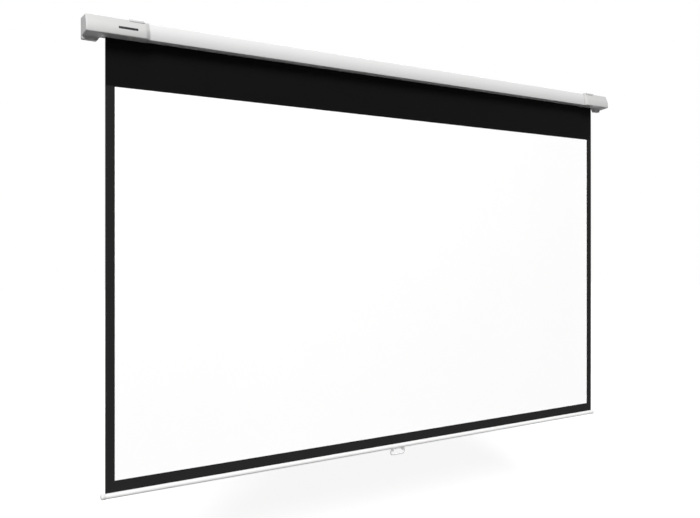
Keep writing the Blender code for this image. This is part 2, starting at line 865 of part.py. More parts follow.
def make_lock():
    """The cup on the roller's spring end, its two pawls and the ratchet wheel on the rod."""
    cup = rod("lock_cup", roller_radius, -cup_end, -cup_start, roller_y, 0.0)
    neck = rod("cup_neck", channel_centre - channel_outer - 2 * gap, -cup_start - cup_base / 2,
               -tube_half + spigot_length / 2, roller_y, 0.0)
    spigot = keyed_plug("cup_spigot", -(tube_half - gap), -(tube_half - spigot_length), bore_radius)
    hollow = rod("cup_hollow", roller_radius - cup_wall, -2 * cup_end, -(cup_start + cup_base), roller_y, 0.0)
    bore = rod("cup_bore", bore_radius, -2 * cup_end, 0.0, roller_y, 0.0, small_sides)
    fuse(cup, neck, spigot)
    cut(cup, hollow, bore)

    wheel = rod("ratchet_wheel", ratchet_radius, lock_x - lock_thickness, lock_x, roller_y, 0.0)
    cut(wheel, rod("wheel_bore", arbor_radius + gap, 2 * lock_x, 0.0, roller_y, 0.0, small_sides))
    rest = pawl_engaged_degrees - pawl_throw_degrees
    pin_out = lock_x - lock_thickness - 2 * pawl_side_gap
    pin_in = -(cup_start + cup_base / 3)
    for name, about in (("upper_pawl", 1.0), ("lower_pawl", -1.0)):
        cut(wheel, prism(f"{name}_notch", notch_outline(about), 2 * lock_x, 0.5 * lock_x))
        pivot_y = roller_y + about * pawl_pivot_radius
        pawl = prism(name, finger_outline(rest, about), lock_x - lock_thickness, lock_x)
        hole = rod(f"{name}_hole", pawl_pin_radius + gap, 2 * lock_x, 0.5 * lock_x, pivot_y, 0.0, small_sides)
        cut(pawl, hole)
        seat = rod(f"{name}_seat", pawl_pin_radius + gap, lock_x - gap, pin_in + gap, pivot_y, 0.0, small_sides)
        cut(cup, seat)
        part(pawl, ZINC)
        part(rod(f"{name}_pin", pawl_pin_radius, pin_out, pin_in, pivot_y, 0.0, small_sides), ZINC)
    part(wheel, ZINC)
    part(cup, BLACK_PLASTIC)


def spring_points(start_x):
    """The spring's middle line: a straight tail at each end and a helix between them."""
    points = [(start_x, roller_y, spring_radius)]
    count = spring_turns * spring_points_per_turn
    for step in range(count + 1):
        angle = 2 * math.pi * step / spring_points_per_turn
        x = start_x + spring_tail + spring_pitch * step / spring_points_per_turn
        points.append((x, roller_y + spring_radius * math.sin(angle), spring_radius * math.cos(angle)))
    last = points[-1]
    points.append((last[0] + spring_tail, last[1], last[2]))
    return points


def least_gap(points, wire_radius, turn):
    """The least distance between two turns of a wire, measured on its points."""
    least = math.inf
    for index, here in enumerate(points):
        for other in points[index + turn // 2 + 1:index + 2 * turn]:
            least = min(least, (Vector(here) - Vector(other)).length)
    return least - 2 * wire_radius


def wire(name, points, radius, resolution, shade):
    """A round wire along a list of points."""
    line = bpy.data.curves.new(name, "CURVE")
    line.dimensions = "3D"
    line.bevel_depth = radius
    line.bevel_resolution = resolution
    line.use_fill_caps = True
    line.resolution_u = 1
    line.render_resolution_u = 0
    spline = line.splines.new("POLY")
    spline.points.add(len(points) - 1)
    for point, place in zip(spline.points, points):
        point.co = (*place, 1.0)
    curve = bpy.data.objects.new(name, line)
    return part(meshed(curve), shade)


def make_spring():
    """The rod, the spring round it, the plug that holds one end and the plug that the other drives."""
    anchor_from = -(tube_half - spigot_length - 2 * gap)
    anchor_to = anchor_from + anchor_length
    spring_from = anchor_to + gap
    points = spring_points(spring_from)
    spring_to = points[-1][0]
    drive_from = spring_to + gap
    drive_to = drive_from + drive_length
    clip_from = drive_to + gap
    clip_to = clip_from + clip_thickness
    square_to = -plate_inner + pawl_side_gap

    arbor = rod("spring_rod", arbor_radius, square_to - gap, clip_to + 2 * clip_thickness, roller_y, 0.0, small_sides)
    half = arbor_square / 2
    head_low = (-(plate_outer + arbor_past_plate), roller_y - half, -half)
    fuse(arbor, box("arbor_head", head_low, (square_to, roller_y + half, half)))
    part(arbor, ZINC)

    anchor = rod("spring_anchor", anchor_radius, anchor_from, anchor_to, roller_y, 0.0)
    cut(anchor, rod("anchor_bore", arbor_radius + gap, 2 * anchor_from, 0.0, roller_y, 0.0, small_sides))
    part(anchor, BLACK_PLASTIC)
    wire("torsion_spring", points, spring_wire_radius, 1, SPRING_STEEL)
    clearance = least_gap(points[1:-1], spring_wire_radius, spring_points_per_turn)
    print(f"torsion spring: least gap between turns {clearance * 1000:.2f} mm")
    part(keyed_plug("spring_drive_plug", drive_from, drive_to, bore_radius), BLACK_PLASTIC)
    clip = [(clip_radius, clip_to), (clip_radius, clip_from), (arbor_radius + gap, clip_from),
            (arbor_radius + gap, clip_to)]
    part(turned("rod_clip", clip, (0.0, roller_y, 0.0), sides=small_sides, closed=True), SPRING_STEEL)


def make_free_end():
    """The plug, bush and pin that carry the roller's other end."""
    inner = tube_half - spigot_length
    bore = bush_radius + gap
    spigot = keyed_plug("idler_spigot", inner, tube_half - gap, bore)
    flange = rod("idler_plug", roller_radius, cup_start, cup_start + flange_thickness, roller_y, 0.0)
    neck = rod("idler_neck", channel_centre - channel_outer - 2 * gap, inner + gap,
               cup_start + flange_thickness / 2, roller_y, 0.0)
    fuse(flange, neck, spigot)
    cut(flange, rod("idler_bore", bore, 0.0, 2 * cup_start, roller_y, 0.0))
    part(flange, BLACK_PLASTIC)
    bush_end = cup_start + flange_thickness
    bush = [(bush_radius, bush_end), (bush_radius, inner), (idler_radius + running_gap, inner),
            (idler_radius + running_gap, bush_end)]
    part(turned("idler_bush", bush, (0.0, roller_y, 0.0), closed=True), BUSH_PLASTIC)
    head_from = plate_outer + gap
    head_to = head_from + idler_head_thickness
    pin = [(0.0, head_to), (idler_head_radius, head_to), (idler_head_radius, head_from), (idler_radius, head_from),
           (idler_radius, inner + pawl_side_gap), (0.0, inner + pawl_side_gap)]
    part(turned("idler_pin", pin, (0.0, roller_y, 0.0)), ZINC)


# Sheet and bottom bar

def make_sheet():
    """The sheet, hanging from the roller to the rod in its hem."""
    half = sheet_thickness / 2
    low = (-sheet_half, sheet_y - half, sheet_bottom)
    part(box("screen_sheet", low, (sheet_half, sheet_y + half, 0.0)), SCREEN_CLOTH)
    part(rod("hem_rod", hem_rod_radius, -sheet_half, sheet_half, sheet_y, bar_z, small_sides), BLACK_PLASTIC)


def bar_path():
    """The bar's outer circle from one side of its slot round to the other."""
    half_mouth = math.degrees(math.asin(bar_slot / 2 / bar_radius))
    return circle_points((sheet_y, bar_z), bar_radius, round_sides, 90.0 + half_mouth, 360.0 - 2 * half_mouth)


def bracket_screw_places():
    """Where the handle's bracket is screwed to the bar."""
    return (-bracket_screw_spacing / 2, bracket_screw_spacing / 2)


def upright_hole(name, x, z, depth):
    """A vertical hole for a screw into the bar."""
    shape = bmesh.new()
    bmesh.ops.create_cone(shape, cap_ends=True, segments=small_sides, radius1=screw_radius + gap,
                          radius2=screw_radius + gap, depth=depth)
    return from_bmesh(name, shape, (x, sheet_y, z))


def make_bar():
    """The slotted tube across the sheet's foot, with its two end caps."""
    tube = strip("bar_tube", bar_path(), -bar_half, bar_half, bar_wall, 1.0)
    for x in bracket_screw_places():
        cut(tube, upright_hole("bar_screw_hole", x, bar_z - bar_radius, 4 * bar_wall))
    part(tube, WHITE_METAL)

    mouth = sheet_half + gap
    floor = bar_half + gap
    tip = bar_half + cap_reach
    shoulder = tip - cap_dome
    dome = circle_points((0.0, 0.0), 1.0, fillet_steps * 2, 90.0, -90.0)
    outer = [(cap_radius * reach, shoulder + cap_dome * height) for reach, height in dome]
    spigot = bar_radius - bar_wall - gap
    spigot_tip = mouth + gap
    groove = bar_radius + gap
    inner = [(cap_radius, mouth), (groove, mouth), (groove, floor), (spigot, floor), (spigot, spigot_tip),
             (0.0, spigot_tip)]
    profile = outer + inner
    for name, side in (("left_bar_cap", -1.0), ("right_bar_cap", 1.0)):
        part(turned(name, profile, (0.0, sheet_y, bar_z), toward=side), WHITE_PLASTIC)


def make_handle():
    """The bracket screwed under the bar and the loop that swings in its two lugs."""
    start = 270.0 - bracket_half_angle
    inner = circle_points((sheet_y, bar_z), bar_radius + gap, arc_steps, start, 2 * bracket_half_angle)
    outer = circle_points((sheet_y, bar_z), bracket_outer, arc_steps, start + 2 * bracket_half_angle,
                          -2 * bracket_half_angle)
    bracket = prism("handle_bracket", inner + outer, -bracket_length / 2, bracket_length / 2)
    for side in (-1.0, 1.0):
        x = side * lug_spacing / 2
        half = lug_width / 2
        lug = rod(f"lug_{side:.0f}", lug_radius, x - half, x + half, sheet_y, pivot_z, small_sides)
        web_low = (x - half, sheet_y - lug_radius, pivot_z)
        web_high = (x + half, sheet_y + lug_radius, bar_z - bracket_outer + bracket_thickness / 2)
        web = box(f"lug_web_{side:.0f}", web_low, web_high)
        fuse(bracket, lug, web)
    clear = rod("bracket_clearance", bar_radius + gap, -bracket_length, bracket_length, sheet_y, bar_z)
    wire_hole = rod("wire_hole", handle_wire_radius + gap, -bracket_length, bracket_length, sheet_y, pivot_z,
                    small_sides)
    cut(bracket, clear, wire_hole)
    for x in bracket_screw_places():
        cut(bracket, upright_hole("bracket_hole", x, bar_z - bracket_outer, 4 * bracket_thickness))
    part(bracket, WHITE_PLASTIC)
    for index, x in enumerate(bracket_screw_places()):
        place = (x, sheet_y, bar_z - bracket_outer - gap)
        screw = screw_object(f"bracket_screw_{index + 1}", place, bracket_thickness + 2 * gap + 2 * bar_wall)
        screw.rotation_euler = (math.radians(180.0), 0.0, 0.0)
        part(screw, ZINC)

    end_x = lug_spacing / 2 - lug_width / 2
    right = [
        (end_x, 0.0),
        (handle_half_width, 0.0),
        (handle_half_width - handle_foot_inset, -handle_drop + handle_foot_rise),
        (0.0, -handle_drop),
    ]
    left = [(-x, z) for x, z in reversed(right[:-1])]
    radii = {1: handle_shoulder_radius, 2: handle_corner_radius, 3: handle_bow_radius,
             4: handle_corner_radius, 5: handle_shoulder_radius}
    path = rounded(right + left, radii, closed=False)
    points = [(x, 0.0, z) for x, z in path]
    loop = wire("pull_handle", points, handle_wire_radius, 2, WHITE_PLASTIC)
    loop.location = (0.0, sheet_y, pivot_z)


make_case()
make_covers()
make_plates()
make_hangers()
make_roller()
make_lock()
make_spring()
make_free_end()
make_sheet()
make_bar()
make_handle()
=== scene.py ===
"""Looks for a pull-down projection screen on a spring roller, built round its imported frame.

Metres and degrees, +Z up, +X along the case to the viewer's right, the viewer on the -Y side.
"""

import math

import bmesh
import bpy
from mathutils import Matrix, Vector


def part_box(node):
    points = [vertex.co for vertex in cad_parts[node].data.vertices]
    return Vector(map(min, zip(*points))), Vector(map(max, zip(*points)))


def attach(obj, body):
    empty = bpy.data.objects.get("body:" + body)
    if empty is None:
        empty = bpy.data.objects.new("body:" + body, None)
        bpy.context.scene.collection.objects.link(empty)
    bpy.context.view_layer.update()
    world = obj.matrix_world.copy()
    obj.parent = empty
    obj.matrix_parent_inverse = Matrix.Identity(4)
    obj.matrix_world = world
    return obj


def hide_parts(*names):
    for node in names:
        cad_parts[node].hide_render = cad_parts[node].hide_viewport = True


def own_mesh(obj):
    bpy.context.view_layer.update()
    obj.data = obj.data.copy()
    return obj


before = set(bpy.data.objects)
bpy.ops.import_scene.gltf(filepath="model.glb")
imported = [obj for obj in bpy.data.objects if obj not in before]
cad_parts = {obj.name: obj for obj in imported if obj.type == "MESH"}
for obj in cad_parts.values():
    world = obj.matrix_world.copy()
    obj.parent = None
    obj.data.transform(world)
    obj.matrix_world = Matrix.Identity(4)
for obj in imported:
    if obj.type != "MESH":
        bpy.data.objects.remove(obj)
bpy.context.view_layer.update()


# Sizes: those of the part's source, and finer ones that only the looks have

HALF_HEIGHT = 0.02625
CASE_TOP_DEPTH = 0.050
CASE_BOTTOM_DEPTH = 0.0555
CASE_BULGE = 0.005
CASE_WALL = 0.0014
EDGE_RADIUS = 0.002
EDGE_REACH = 0.0032
CASE_HALF = 1.15
SHEET_Y = -0.014
SLOT_BACK = -0.007
SLOT_FRONT = -0.021
SLOT_LIP = 0.004
SLOT_RADIUS = 0.0006
RECESS_DEPTH = 0.0038
RECESS_BOTTOM = 0.008
RECESS_RADIUS = 0.0005
PORT_OUTER = 0.0032
PORT_INNER = 0.0017
PORT_BITE = 0.0004
PORT_MOUTH = 70.0
PORT_SETBACK = 0.0045
GAP = 0.0003

COVER_WALL = 0.0011
COVER_RISE = 0.0014
LEFT_END = 1.2085
RIGHT_END = 1.194
LEFT_COVER_X = -1.0085
RIGHT_COVER_X = 1.0384
MOUTH_LENGTH = 0.015
MOUTH_SWELL = 0.2
MOUTH_LIP = 0.0004
COVER_TOP_PROUD = 0.004
CREASE_HEIGHT = 0.0025
CREASE_PROUD = 0.007
CREASE_RADIUS = 0.0008
COVER_BOTTOM_PROUD = 0.0125
COVER_BULGE = 0.00155
COVER_LOW_RADIUS = 0.004
COVER_LOW_REACH = 0.0048
COVER_END_RADIUS = 0.004
RIB_THICKNESS = 0.0016
RIB_INSET = 0.010
RIB_CLEARANCE = 0.0005
BLOCK_TOP_X = 1.1529
BLOCK_SLOPE = 0.010
BLOCK_DEPTH = 0.019
BLOCK_DROP = 0.014
BLOCK_SHELF_DROP = 0.006
BLOCK_DRAFT = 0.001
BLOCK_BACK_RADIUS = 0.003
BLOCK_FRONT_RADIUS = 0.0012
BLOCK_HOLLOW_RADIUS = 0.0035
PLATE_OUTER = 1.1523
COVER_SCREW_INSET = 0.060
COVER_SCREW_SETBACK = 0.014
STRIP_PLACE = (-1.0785, -0.06739, -0.00225)
STRIP_LEAN = 14.28
STRIP_LENGTH = 0.061
STRIP_HEIGHT = 0.0075
STRIP_THICKNESS = 0.0009
STRIP_PAD = 0.0015
STRIP_EDGE = 0.00025

HANGER_WIDTH = 0.046
HANGER_THICKNESS = 0.0035
HANGER_HOOK = 0.006
HANGER_BEND = 0.0025
HANGER_HOLE = 0.0025
HANGER_LIP = 0.0045
HANGER_LIP_CUT = 0.6
HANGER_EDGE = 0.0008
LEFT_HANGER_X = -1.0485
RIGHT_HANGER_X = 1.0784

ROLLER_Y = -0.031525
SHEET_HALF = 1.137
SHEET_THICKNESS = 0.00045
SHEET_BOTTOM = -1.46575
FIELD_HALF = 1.107
FIELD_TOP = -0.17825
FIELD_BOTTOM = -1.42325
ROLL_TURNS = 1.5
ROLL_INNER = 0.0163
ROLL_LAYER = 0.00027
WAVE_HEIGHT = 0.0008
INK_SOFT = 0.00035
INK_RAGGED = 0.0003
DROP_BLEND = 0.004

BAR_Z = -1.46825
BAR_RADIUS = 0.009
BAR_WALL = 0.0012
BAR_SLOT = 0.0024
BAR_HALF = 1.144
CAP_RADIUS = 0.010
CAP_REACH = 0.008
CAP_DOME = 0.006
CAP_LIP = 0.0004
CAP_LIP_INSET = 0.3
BRACKET_OUTER = 0.0111
BRACKET_THICKNESS = 0.0018
BRACKET_HALF_LENGTH = 0.031
BRACKET_HALF_ANGLE = 50.0
BRACKET_EDGE = 0.0004
LUG_X = 0.025
LUG_WIDTH = 0.008
LUG_RADIUS = 0.0048
LUG_EDGE = 0.0006
PIVOT_Z = -1.48285
WIRE_RADIUS = 0.0023
HANDLE_HALF = 0.034
HANDLE_DROP = 0.019
HANDLE_FOOT_INSET = 0.002
HANDLE_FOOT_RISE = 0.0014
HANDLE_SHOULDER_RADIUS = 0.0045
HANDLE_CORNER_RADIUS = 0.007
HANDLE_BOW_RADIUS = 0.45

SCREW_RADIUS = 0.0014
SCREW_HEAD = 0.0027
SCREW_HEAD_HEIGHT = 0.0018
SCREW_SHANK = 0.0075
COVER_SCREWS_X = (LEFT_COVER_X - COVER_SCREW_INSET, RIGHT_COVER_X + COVER_SCREW_INSET)
BRACKET_SCREWS_X = (-0.012, 0.012)
INNER_EDGE = 0.0002

SPRING_RADIUS = 0.0068
SPRING_WIRE = 0.0010
SPRING_PITCH = 0.00215


# Fineness of the made meshes

ARC_STEPS = 40
FILLET_STEPS = 8
BLEND_STEPS = 8
MOUTH_STEPS = 3
STRAIGHT = math.radians(89.9)
QUARTER = math.radians(90.0)
SHARP_EDGE = math.radians(50.0)
FLAT = math.radians(0.5)
ROUND_SIDES = 64
HOLE_SIDES = 32
SMALL_SIDES = 24
ROLL_STEPS = 96
SPRING_STEPS = 20
SPRING_WIRE_SIDES = 8
SHEET_COLUMNS = 115
SHEET_ROWS = 75
MERGE = 1e-6


# Wiring of node trees

class Wiring:
    """A node tree being wired."""

    def __init__(self, tree):
        self.tree = tree

    def node(self, kind, inputs=None, output=0, **settings):
        """Add a node with its own settings and its sockets' values or lines, and give one output."""
        made = self.tree.nodes.new(kind)
        for name, setting in settings.items():
            setattr(made, name, setting)
        for name, given in (inputs or {}).items():
            self.feed(made.inputs[name], given)
        return Line(self, made.outputs[output]) if made.outputs else None

    def feed(self, socket, given):
        """Link a line to a socket, or set the socket's value."""
        for item in given if isinstance(given, list) else [given]:
            if isinstance(item, Line):
                self.tree.links.new(item.socket, socket)
            else:
                socket.default_value = item


def operator(operation, swapped=False):
    """A method that puts a Math node on a line and another line or number."""
    def method(line, other):
        return line.maths(operation, *((other, line) if swapped else (line, other)))
    return method


class Line:
    """One output of a node, for sums written as Python expressions."""

    def __init__(self, wiring, socket):
        self.wiring = wiring
        self.socket = socket

    def maths(self, operation, *numbers, clamp=False):
        """A Math node on these numbers or lines."""
        inputs = dict(enumerate(numbers))
        return self.wiring.node("ShaderNodeMath", inputs, operation=operation, use_clamp=clamp)

    __add__ = operator("ADD")
    __radd__ = operator("ADD", swapped=True)
    __sub__ = operator("SUBTRACT")
    __rsub__ = operator("SUBTRACT", swapped=True)
    __mul__ = operator("MULTIPLY")
    __rmul__ = operator("MULTIPLY", swapped=True)
    __truediv__ = operator("DIVIDE")
    __pow__ = operator("POWER")
    __gt__ = operator("GREATER_THAN")

    def clamped(self):
        """The value kept from 0 to 1."""
        return self.maths("ADD", self, 0.0, clamp=True)

    def size(self):
        """The value without its sign."""
        return self.maths("ABSOLUTE", self)

    def sine(self):
        """The value's sine."""
        return self.maths("SINE", self)

    def part(self, axis):
        """One of a vector's three numbers."""
        return self.wiring.node("ShaderNodeSeparateXYZ", {0: self}, axis)


EDGE_CONTRAST = 6.0


class Finish(Wiring):
    """A material being wired."""

    def __init__(self, name):
        self.material = bpy.data.materials.new(name)
        self.material.use_nodes = True
        super().__init__(self.material.node_tree)
        self.tree.nodes.clear()
        self.place = self.node("ShaderNodeTexCoord", output="Object")

    def drawn_out(self, scales):
        """Object coordinates with each axis scaled, for grain that runs one way."""
        return self.node("ShaderNodeMapping", {"Vector": self.place, "Scale": scales})

    def noise(self, per_metre, detail=2.0, place=None):
        """Noise from 0 to 1 with about this many features to the metre."""
        inputs = {"Vector": place or self.place, "Scale": per_metre, "Detail": detail}
        return self.node("ShaderNodeTexNoise", inputs, "Fac")

    def cells(self, per_metre):
        """Distance from the middles of scattered cells."""
        return self.node("ShaderNodeTexVoronoi", {"Vector": self.place, "Scale": per_metre}, "Distance")

    def mixed(self, share, first, second):
        """Two colours mixed by a share from 0 to 1."""
        inputs = {0: share, 6: first, 7: second}
        return self.node("ShaderNodeMix", inputs, 2, data_type="RGBA", clamp_factor=True)

    def bump(self, height, distance, strength):
        """A normal that is raised where the height is, by this distance in metres."""
        inputs = {"Height": height, "Distance": distance, "Strength": strength}
        return self.node("ShaderNodeBump", inputs, "Normal")

    def edges(self, reach):
        """1 along edges and corners within this reach, 0 on open faces."""
        soft = self.node("ShaderNodeBevel", {"Radius": reach}, samples=4)
        true = self.node("ShaderNodeNewGeometry", output="Normal")
        alike = self.node("ShaderNodeVectorMath", {0: soft, 1: true}, "Value", operation="DOT_PRODUCT")
        return ((1 - alike) * EDGE_CONTRAST).clamped()

    def surface(self, colour, roughness, metallic=0.0, normal=None, **constants):
        """A Principled surface. Constants are set on the shader's own sockets."""
        inputs = {"Base Color": colour, "Roughness": roughness, "Metallic": metallic}
        if normal is not None:
            inputs["Normal"] = normal
        for name, number in constants.items():
            inputs[name.replace("_", " ")] = number
        return self.node("ShaderNodeBsdfPrincipled", inputs)

    def done(self, shader):
        """Wire the shader to the output and give the material."""
        self.node("ShaderNodeOutputMaterial", {"Surface": shader})
        return self.material


def grey(level, warmth=0.0):
    """A neutral colour from a display level of 0 to 255, a little warm or cool."""
    return (*(channel(level + shift) for shift in (warmth, 0.0, -warmth)), 1.0)


def channel(level):
    """A display level of 0 to 255 as a linear value."""
    share = level / 255
    return share / 12.92 if share <= 0.04045 else ((share + 0.055) / 1.055) ** 2.4


# Finishes

def powder_coat(name, level):
    """Satin white powder coat: a fine orange peel, faint clouding, thin paint along the edges."""
    paint = Finish(name)
    cloud = paint.noise(6.0, 3.0)
    speck = paint.noise(420.0)
    worn = paint.edges(0.0006)
    body = paint.mixed(cloud, grey(level - 2.0, 0.4), grey(level + 2.0, 0.0))
    body = paint.mixed((speck - 0.62) * 0.5, body, grey(level - 16.0, 0.5))
    colour = paint.mixed(worn * 0.35, body, grey(level - 26.0, 0.8))
    roughness = 0.34 + cloud * 0.08 + speck * 0.05 + worn * 0.08
    peel = paint.bump(paint.noise(700.0), 0.00005, 0.55)
    return paint.done(paint.surface(colour, roughness, normal=peel))


def moulded(name, level, warmth=0.6, gloss=0.44):
    """Moulded plastic with a fine spark-eroded grain and faintly polished edges."""
    plastic = Finish(name)
    cloud = plastic.noise(9.0)
    grain = plastic.noise(1500.0, 3.0)
    worn = plastic.edges(0.0005)
    body = plastic.mixed(cloud, grey(level - 2.0, warmth), grey(level + 2.0, warmth))
    colour = plastic.mixed(worn * 0.3, body, grey(level + 5.0, warmth))
    roughness = gloss + grain * 0.10 - worn * 0.12
    rough_skin = plastic.bump(grain, 0.00004, 0.6)
    return plastic.done(plastic.surface(colour, roughness, normal=rough_skin))


def glossy_strip(name):
    """The dark strip's polished face, with faint wipe marks."""
    strip = Finish(name)
    smear = strip.noise(1.0, 3.0, strip.drawn_out((30.0, 30.0, 260.0)))
    colour = strip.mixed(smear, grey(32.0), grey(40.0))
    roughness = 0.24 + smear * 0.16 + strip.edges(0.0004) * 0.2
    return strip.done(strip.surface(colour, roughness, Specular_IOR_Level=0.2))


def plated(name, level):
    """Bright zinc plate: a mottled tone with fine rolling marks."""
    zinc = Finish(name)
    mottle = zinc.noise(55.0, 3.0)
    marks = zinc.noise(1.0, place=zinc.drawn_out((2600.0, 240.0, 240.0)))
    worn = zinc.edges(0.0004)
    body = zinc.mixed(mottle, grey(level - 10.0, 1.0), grey(level + 8.0, -1.0))
    colour = zinc.mixed(worn * 0.5, body, grey(level + 22.0))
    roughness = 0.30 + mottle * 0.10 + marks * 0.08 - worn * 0.10
    return zinc.done(zinc.surface(colour, roughness, 1.0, zinc.bump(marks, 0.00002, 0.5)))


def drawn_wire(name):
    """Oiled spring steel with drawing marks and a brown-blue cast."""
    steel = Finish(name)
    cast = steel.noise(90.0)
    marks = steel.noise(2200.0)
    colour = steel.mixed(cast, (0.115, 0.112, 0.118, 1.0), (0.20, 0.185, 0.165, 1.0))
    return steel.done(steel.surface(colour, 0.24 + marks * 0.2, 1.0, steel.bump(marks, 0.00002, 0.4)))


def extruded_metal(name):
    """Mill-finish aluminium with die lines along X."""
    metal = Finish(name)
    lines = metal.noise(1.0, 4.0, metal.drawn_out((3.0, 1700.0, 1700.0)))
    cloud = metal.noise(14.0)
    colour = metal.mixed(lines, grey(205.0, -1.0), grey(226.0, 0.0))
    roughness = 0.26 + lines * 0.16 + cloud * 0.08
    return metal.done(metal.surface(colour, roughness, 1.0, metal.bump(lines, 0.00003, 0.6)))


def knitted(cloth, colour, roughness, spread, shine):
    """A dull coat over a fine knit, rougher by this spread away from the knit's middles."""
    knit = cloth.cells(1900.0)
    raised = cloth.bump(knit, 0.00004, 0.5)
    return cloth.surface(colour, roughness + knit * spread, normal=raised, Specular_IOR_Level=shine)


def cloth_back(name):
    """The cloth's black back and cut edges."""
    cloth = Finish(name)
    tone = cloth.mixed(cloth.noise(11.0), grey(24.0), grey(29.0))
    return cloth.done(knitted(cloth, tone, 0.72, 0.2, 0.12))


def cloth_front(name):
    """The cloth's front: a matt white field printed round with black, with painted shade that darkens the
    drop under the case, on the piece's own UV in metres.
    """
    cloth = Finish(name)
    spread = cloth.node("ShaderNodeUVMap", uv_map="UVMap")
    across = spread.part(0) - SHEET_HALF
    down = spread.part(1)
    ragged = (cloth.noise(900.0, 1.0) - 0.5) * INK_RAGGED
    inside = ((FIELD_HALF - across.size() + ragged) / INK_SOFT).clamped()
    below = ((down + FIELD_TOP + ragged) / INK_SOFT).clamped()
    above = ((-FIELD_BOTTOM - down + ragged) / INK_SOFT).clamped()
    field = inside * below * above

    bead = cloth.cells(1500.0)
    cloud = cloth.noise(3.0)
    white = cloth.mixed(cloud, grey(252.0, 0.1), grey(254.0, 0.0))
    fine = cloth.bump(bead, 0.00003, 0.35)
    matt = cloth.surface(white, 0.86 + bead * 0.1, normal=fine, Specular_IOR_Level=0.25)

    # Painted shade: the drop just under the case gets a darker black than the printed borders, standing in
    # for the shade the case casts on it.
    drop_shade_share = ((-FIELD_TOP - down) / DROP_BLEND).clamped()
    print_and_drop_shade = cloth.mixed(drop_shade_share, grey(36.0), grey(8.0))
    print_and_drop_shade = cloth.mixed(cloth.noise(8.0) * 0.25, print_and_drop_shade, grey(19.0))
    dull = knitted(cloth, print_and_drop_shade, 0.74, 0.18, 0.06)
    return cloth.done(cloth.node("ShaderNodeMixShader", {0: field, 1: dull, 2: matt}))


POWDER_CASE = powder_coat("case_powder_coat", 206.0)
POWDER_HANGER = powder_coat("hanger_powder_coat", 198.0)
POWDER_BAR = powder_coat("bar_powder_coat", 229.0)
COVER_PLASTIC = moulded("cover_moulding", 187.0)
HANDLE_PLASTIC = moulded("handle_moulding", 200.0, 0.4, 0.40)
CAP_PLASTIC = moulded("cap_moulding", 220.0, 0.4, 0.40)
STRIP_GLOSS = glossy_strip("strip_gloss")
ZINC_PLATE = plated("zinc_plate", 176.0)
SPRING_WIRE_STEEL = drawn_wire("spring_wire_steel")
EXTRUDED_ALUMINIUM = extruded_metal("extruded_aluminium")
BLACK_MOULDING = moulded("black_moulding", 46.0, 0.0, 0.42)
NYLON = moulded("nylon_bush", 226.0, 5.0, 0.32)
CLOTH_FRONT = cloth_front("cloth_front")
CLOTH_BACK = cloth_back("cloth_back")


# Flat outlines, mostly in (y, z)

def arc_between(start, end, sagitta):
    """Points of an arc that bulges to the right of the way from start to end."""
    start, end = Vector(start), Vector(end)
    chord = end - start
    outward = Vector((chord.y, -chord.x)).normalized()
    radius = (chord.length ** 2 / 4 + sagitta ** 2) / (2 * sagitta)
    centre = (start + end) / 2 + outward * (sagitta - radius)
    half_angle = math.asin(chord.length / 2 / radius)
    points = []
    for step in range(ARC_STEPS + 1):
        angle = half_angle * (2 * step / ARC_STEPS - 1)
        along = chord.normalized() * radius * math.sin(angle)
        points.append(tuple(centre + along + outward * radius * math.cos(angle)))
    return points


def between_fillets(arc, reach):
    """An arc without the points that its end corners' roundings take up."""
    first, last = arc[0], arc[-1]
    kept = [spot for spot in arc[1:-1] if min(math.dist(first, spot), math.dist(last, spot)) > reach]
    return [first, *kept, last]


def offset_outline(points, distance):
    """A closed outline moved outward, with mitred corners."""
    count = len(points)
    area = sum(points[i - 1][0] * points[i][1] - points[i][0] * points[i - 1][1] for i in range(count))
    side = 1.0 if area > 0 else -1.0
    moved = []
    for i in range(count):
        here = Vector(points[i])
        before = (here - Vector(points[i - 1])).normalized()
        after = (Vector(points[(i + 1) % count]) - here).normalized()
        normal_before = Vector((before.y, -before.x)) * side
        normal_after = Vector((after.y, -after.x)) * side
        mitre = (normal_before + normal_after).normalized()
        moved.append(tuple(here + mitre * distance / mitre.dot(normal_before)))
    return moved


def rounded(points, radii, closed=True):
    """The outline with an arc at each corner that has a radius."""
    count = len(points)
    result = []
    for i in range(count):
        radius = radii.get(i, 0.0)
        if radius <= 0.0 or (not closed and i in (0, count - 1)):
            result.append(tuple(points[i]))
            continue
        here = Vector(points[i])
        to_before = (Vector(points[i - 1]) - here).normalized()
        to_after = (Vector(points[(i + 1) % count]) - here).normalized()
        half_turn = to_before.angle(to_after) / 2
        if half_turn > STRAIGHT:
            result.extend([tuple(here)] * (FILLET_STEPS + 1))
            continue
        reach = radius / math.tan(half_turn)
        centre = here + (to_before + to_after).normalized() * radius / math.sin(half_turn)
        first = here + to_before * reach - centre
        last = here + to_after * reach - centre
        sweep = first.angle_signed(last)
        for step in range(FILLET_STEPS + 1):
            turn = Matrix.Rotation(-sweep * step / FILLET_STEPS, 2)
            result.append(tuple(centre + turn @ first))
    return result


def arc_points(centre, radius, sides, start, sweep):
    """Points along an arc of a circle, by angles in degrees."""
    angles = [math.radians(start + sweep * i / sides) for i in range(sides + 1)]
    return [(centre[0] + radius * math.cos(angle), centre[1] + radius * math.sin(angle)) for angle in angles]


# Mesh tools

def link(name, data):
    """A linked object for a mesh, curve, camera or lamp."""
    obj = bpy.data.objects.new(name, data)
    bpy.context.scene.collection.objects.link(obj)
    return obj


def evaluated_mesh(obj):
    """A mesh of the object as its modifiers leave it."""
    bpy.context.view_layer.update()
    graph = bpy.context.evaluated_depsgraph_get()
    return bpy.data.meshes.new_from_object(obj.evaluated_get(graph))


def as_object(name, shape):
    """A linked object from a bmesh as it is."""
    mesh = bpy.data.meshes.new(name)
    shape.to_mesh(mesh)
    shape.free()
    return link(name, mesh)


def from_shape(name, shape):
    """An object from a bmesh, with its faces pointing outwards."""
    bmesh.ops.remove_doubles(shape, verts=shape.verts, dist=MERGE / 10)
    bmesh.ops.recalc_face_normals(shape, faces=shape.faces)
    return as_object(name, shape)


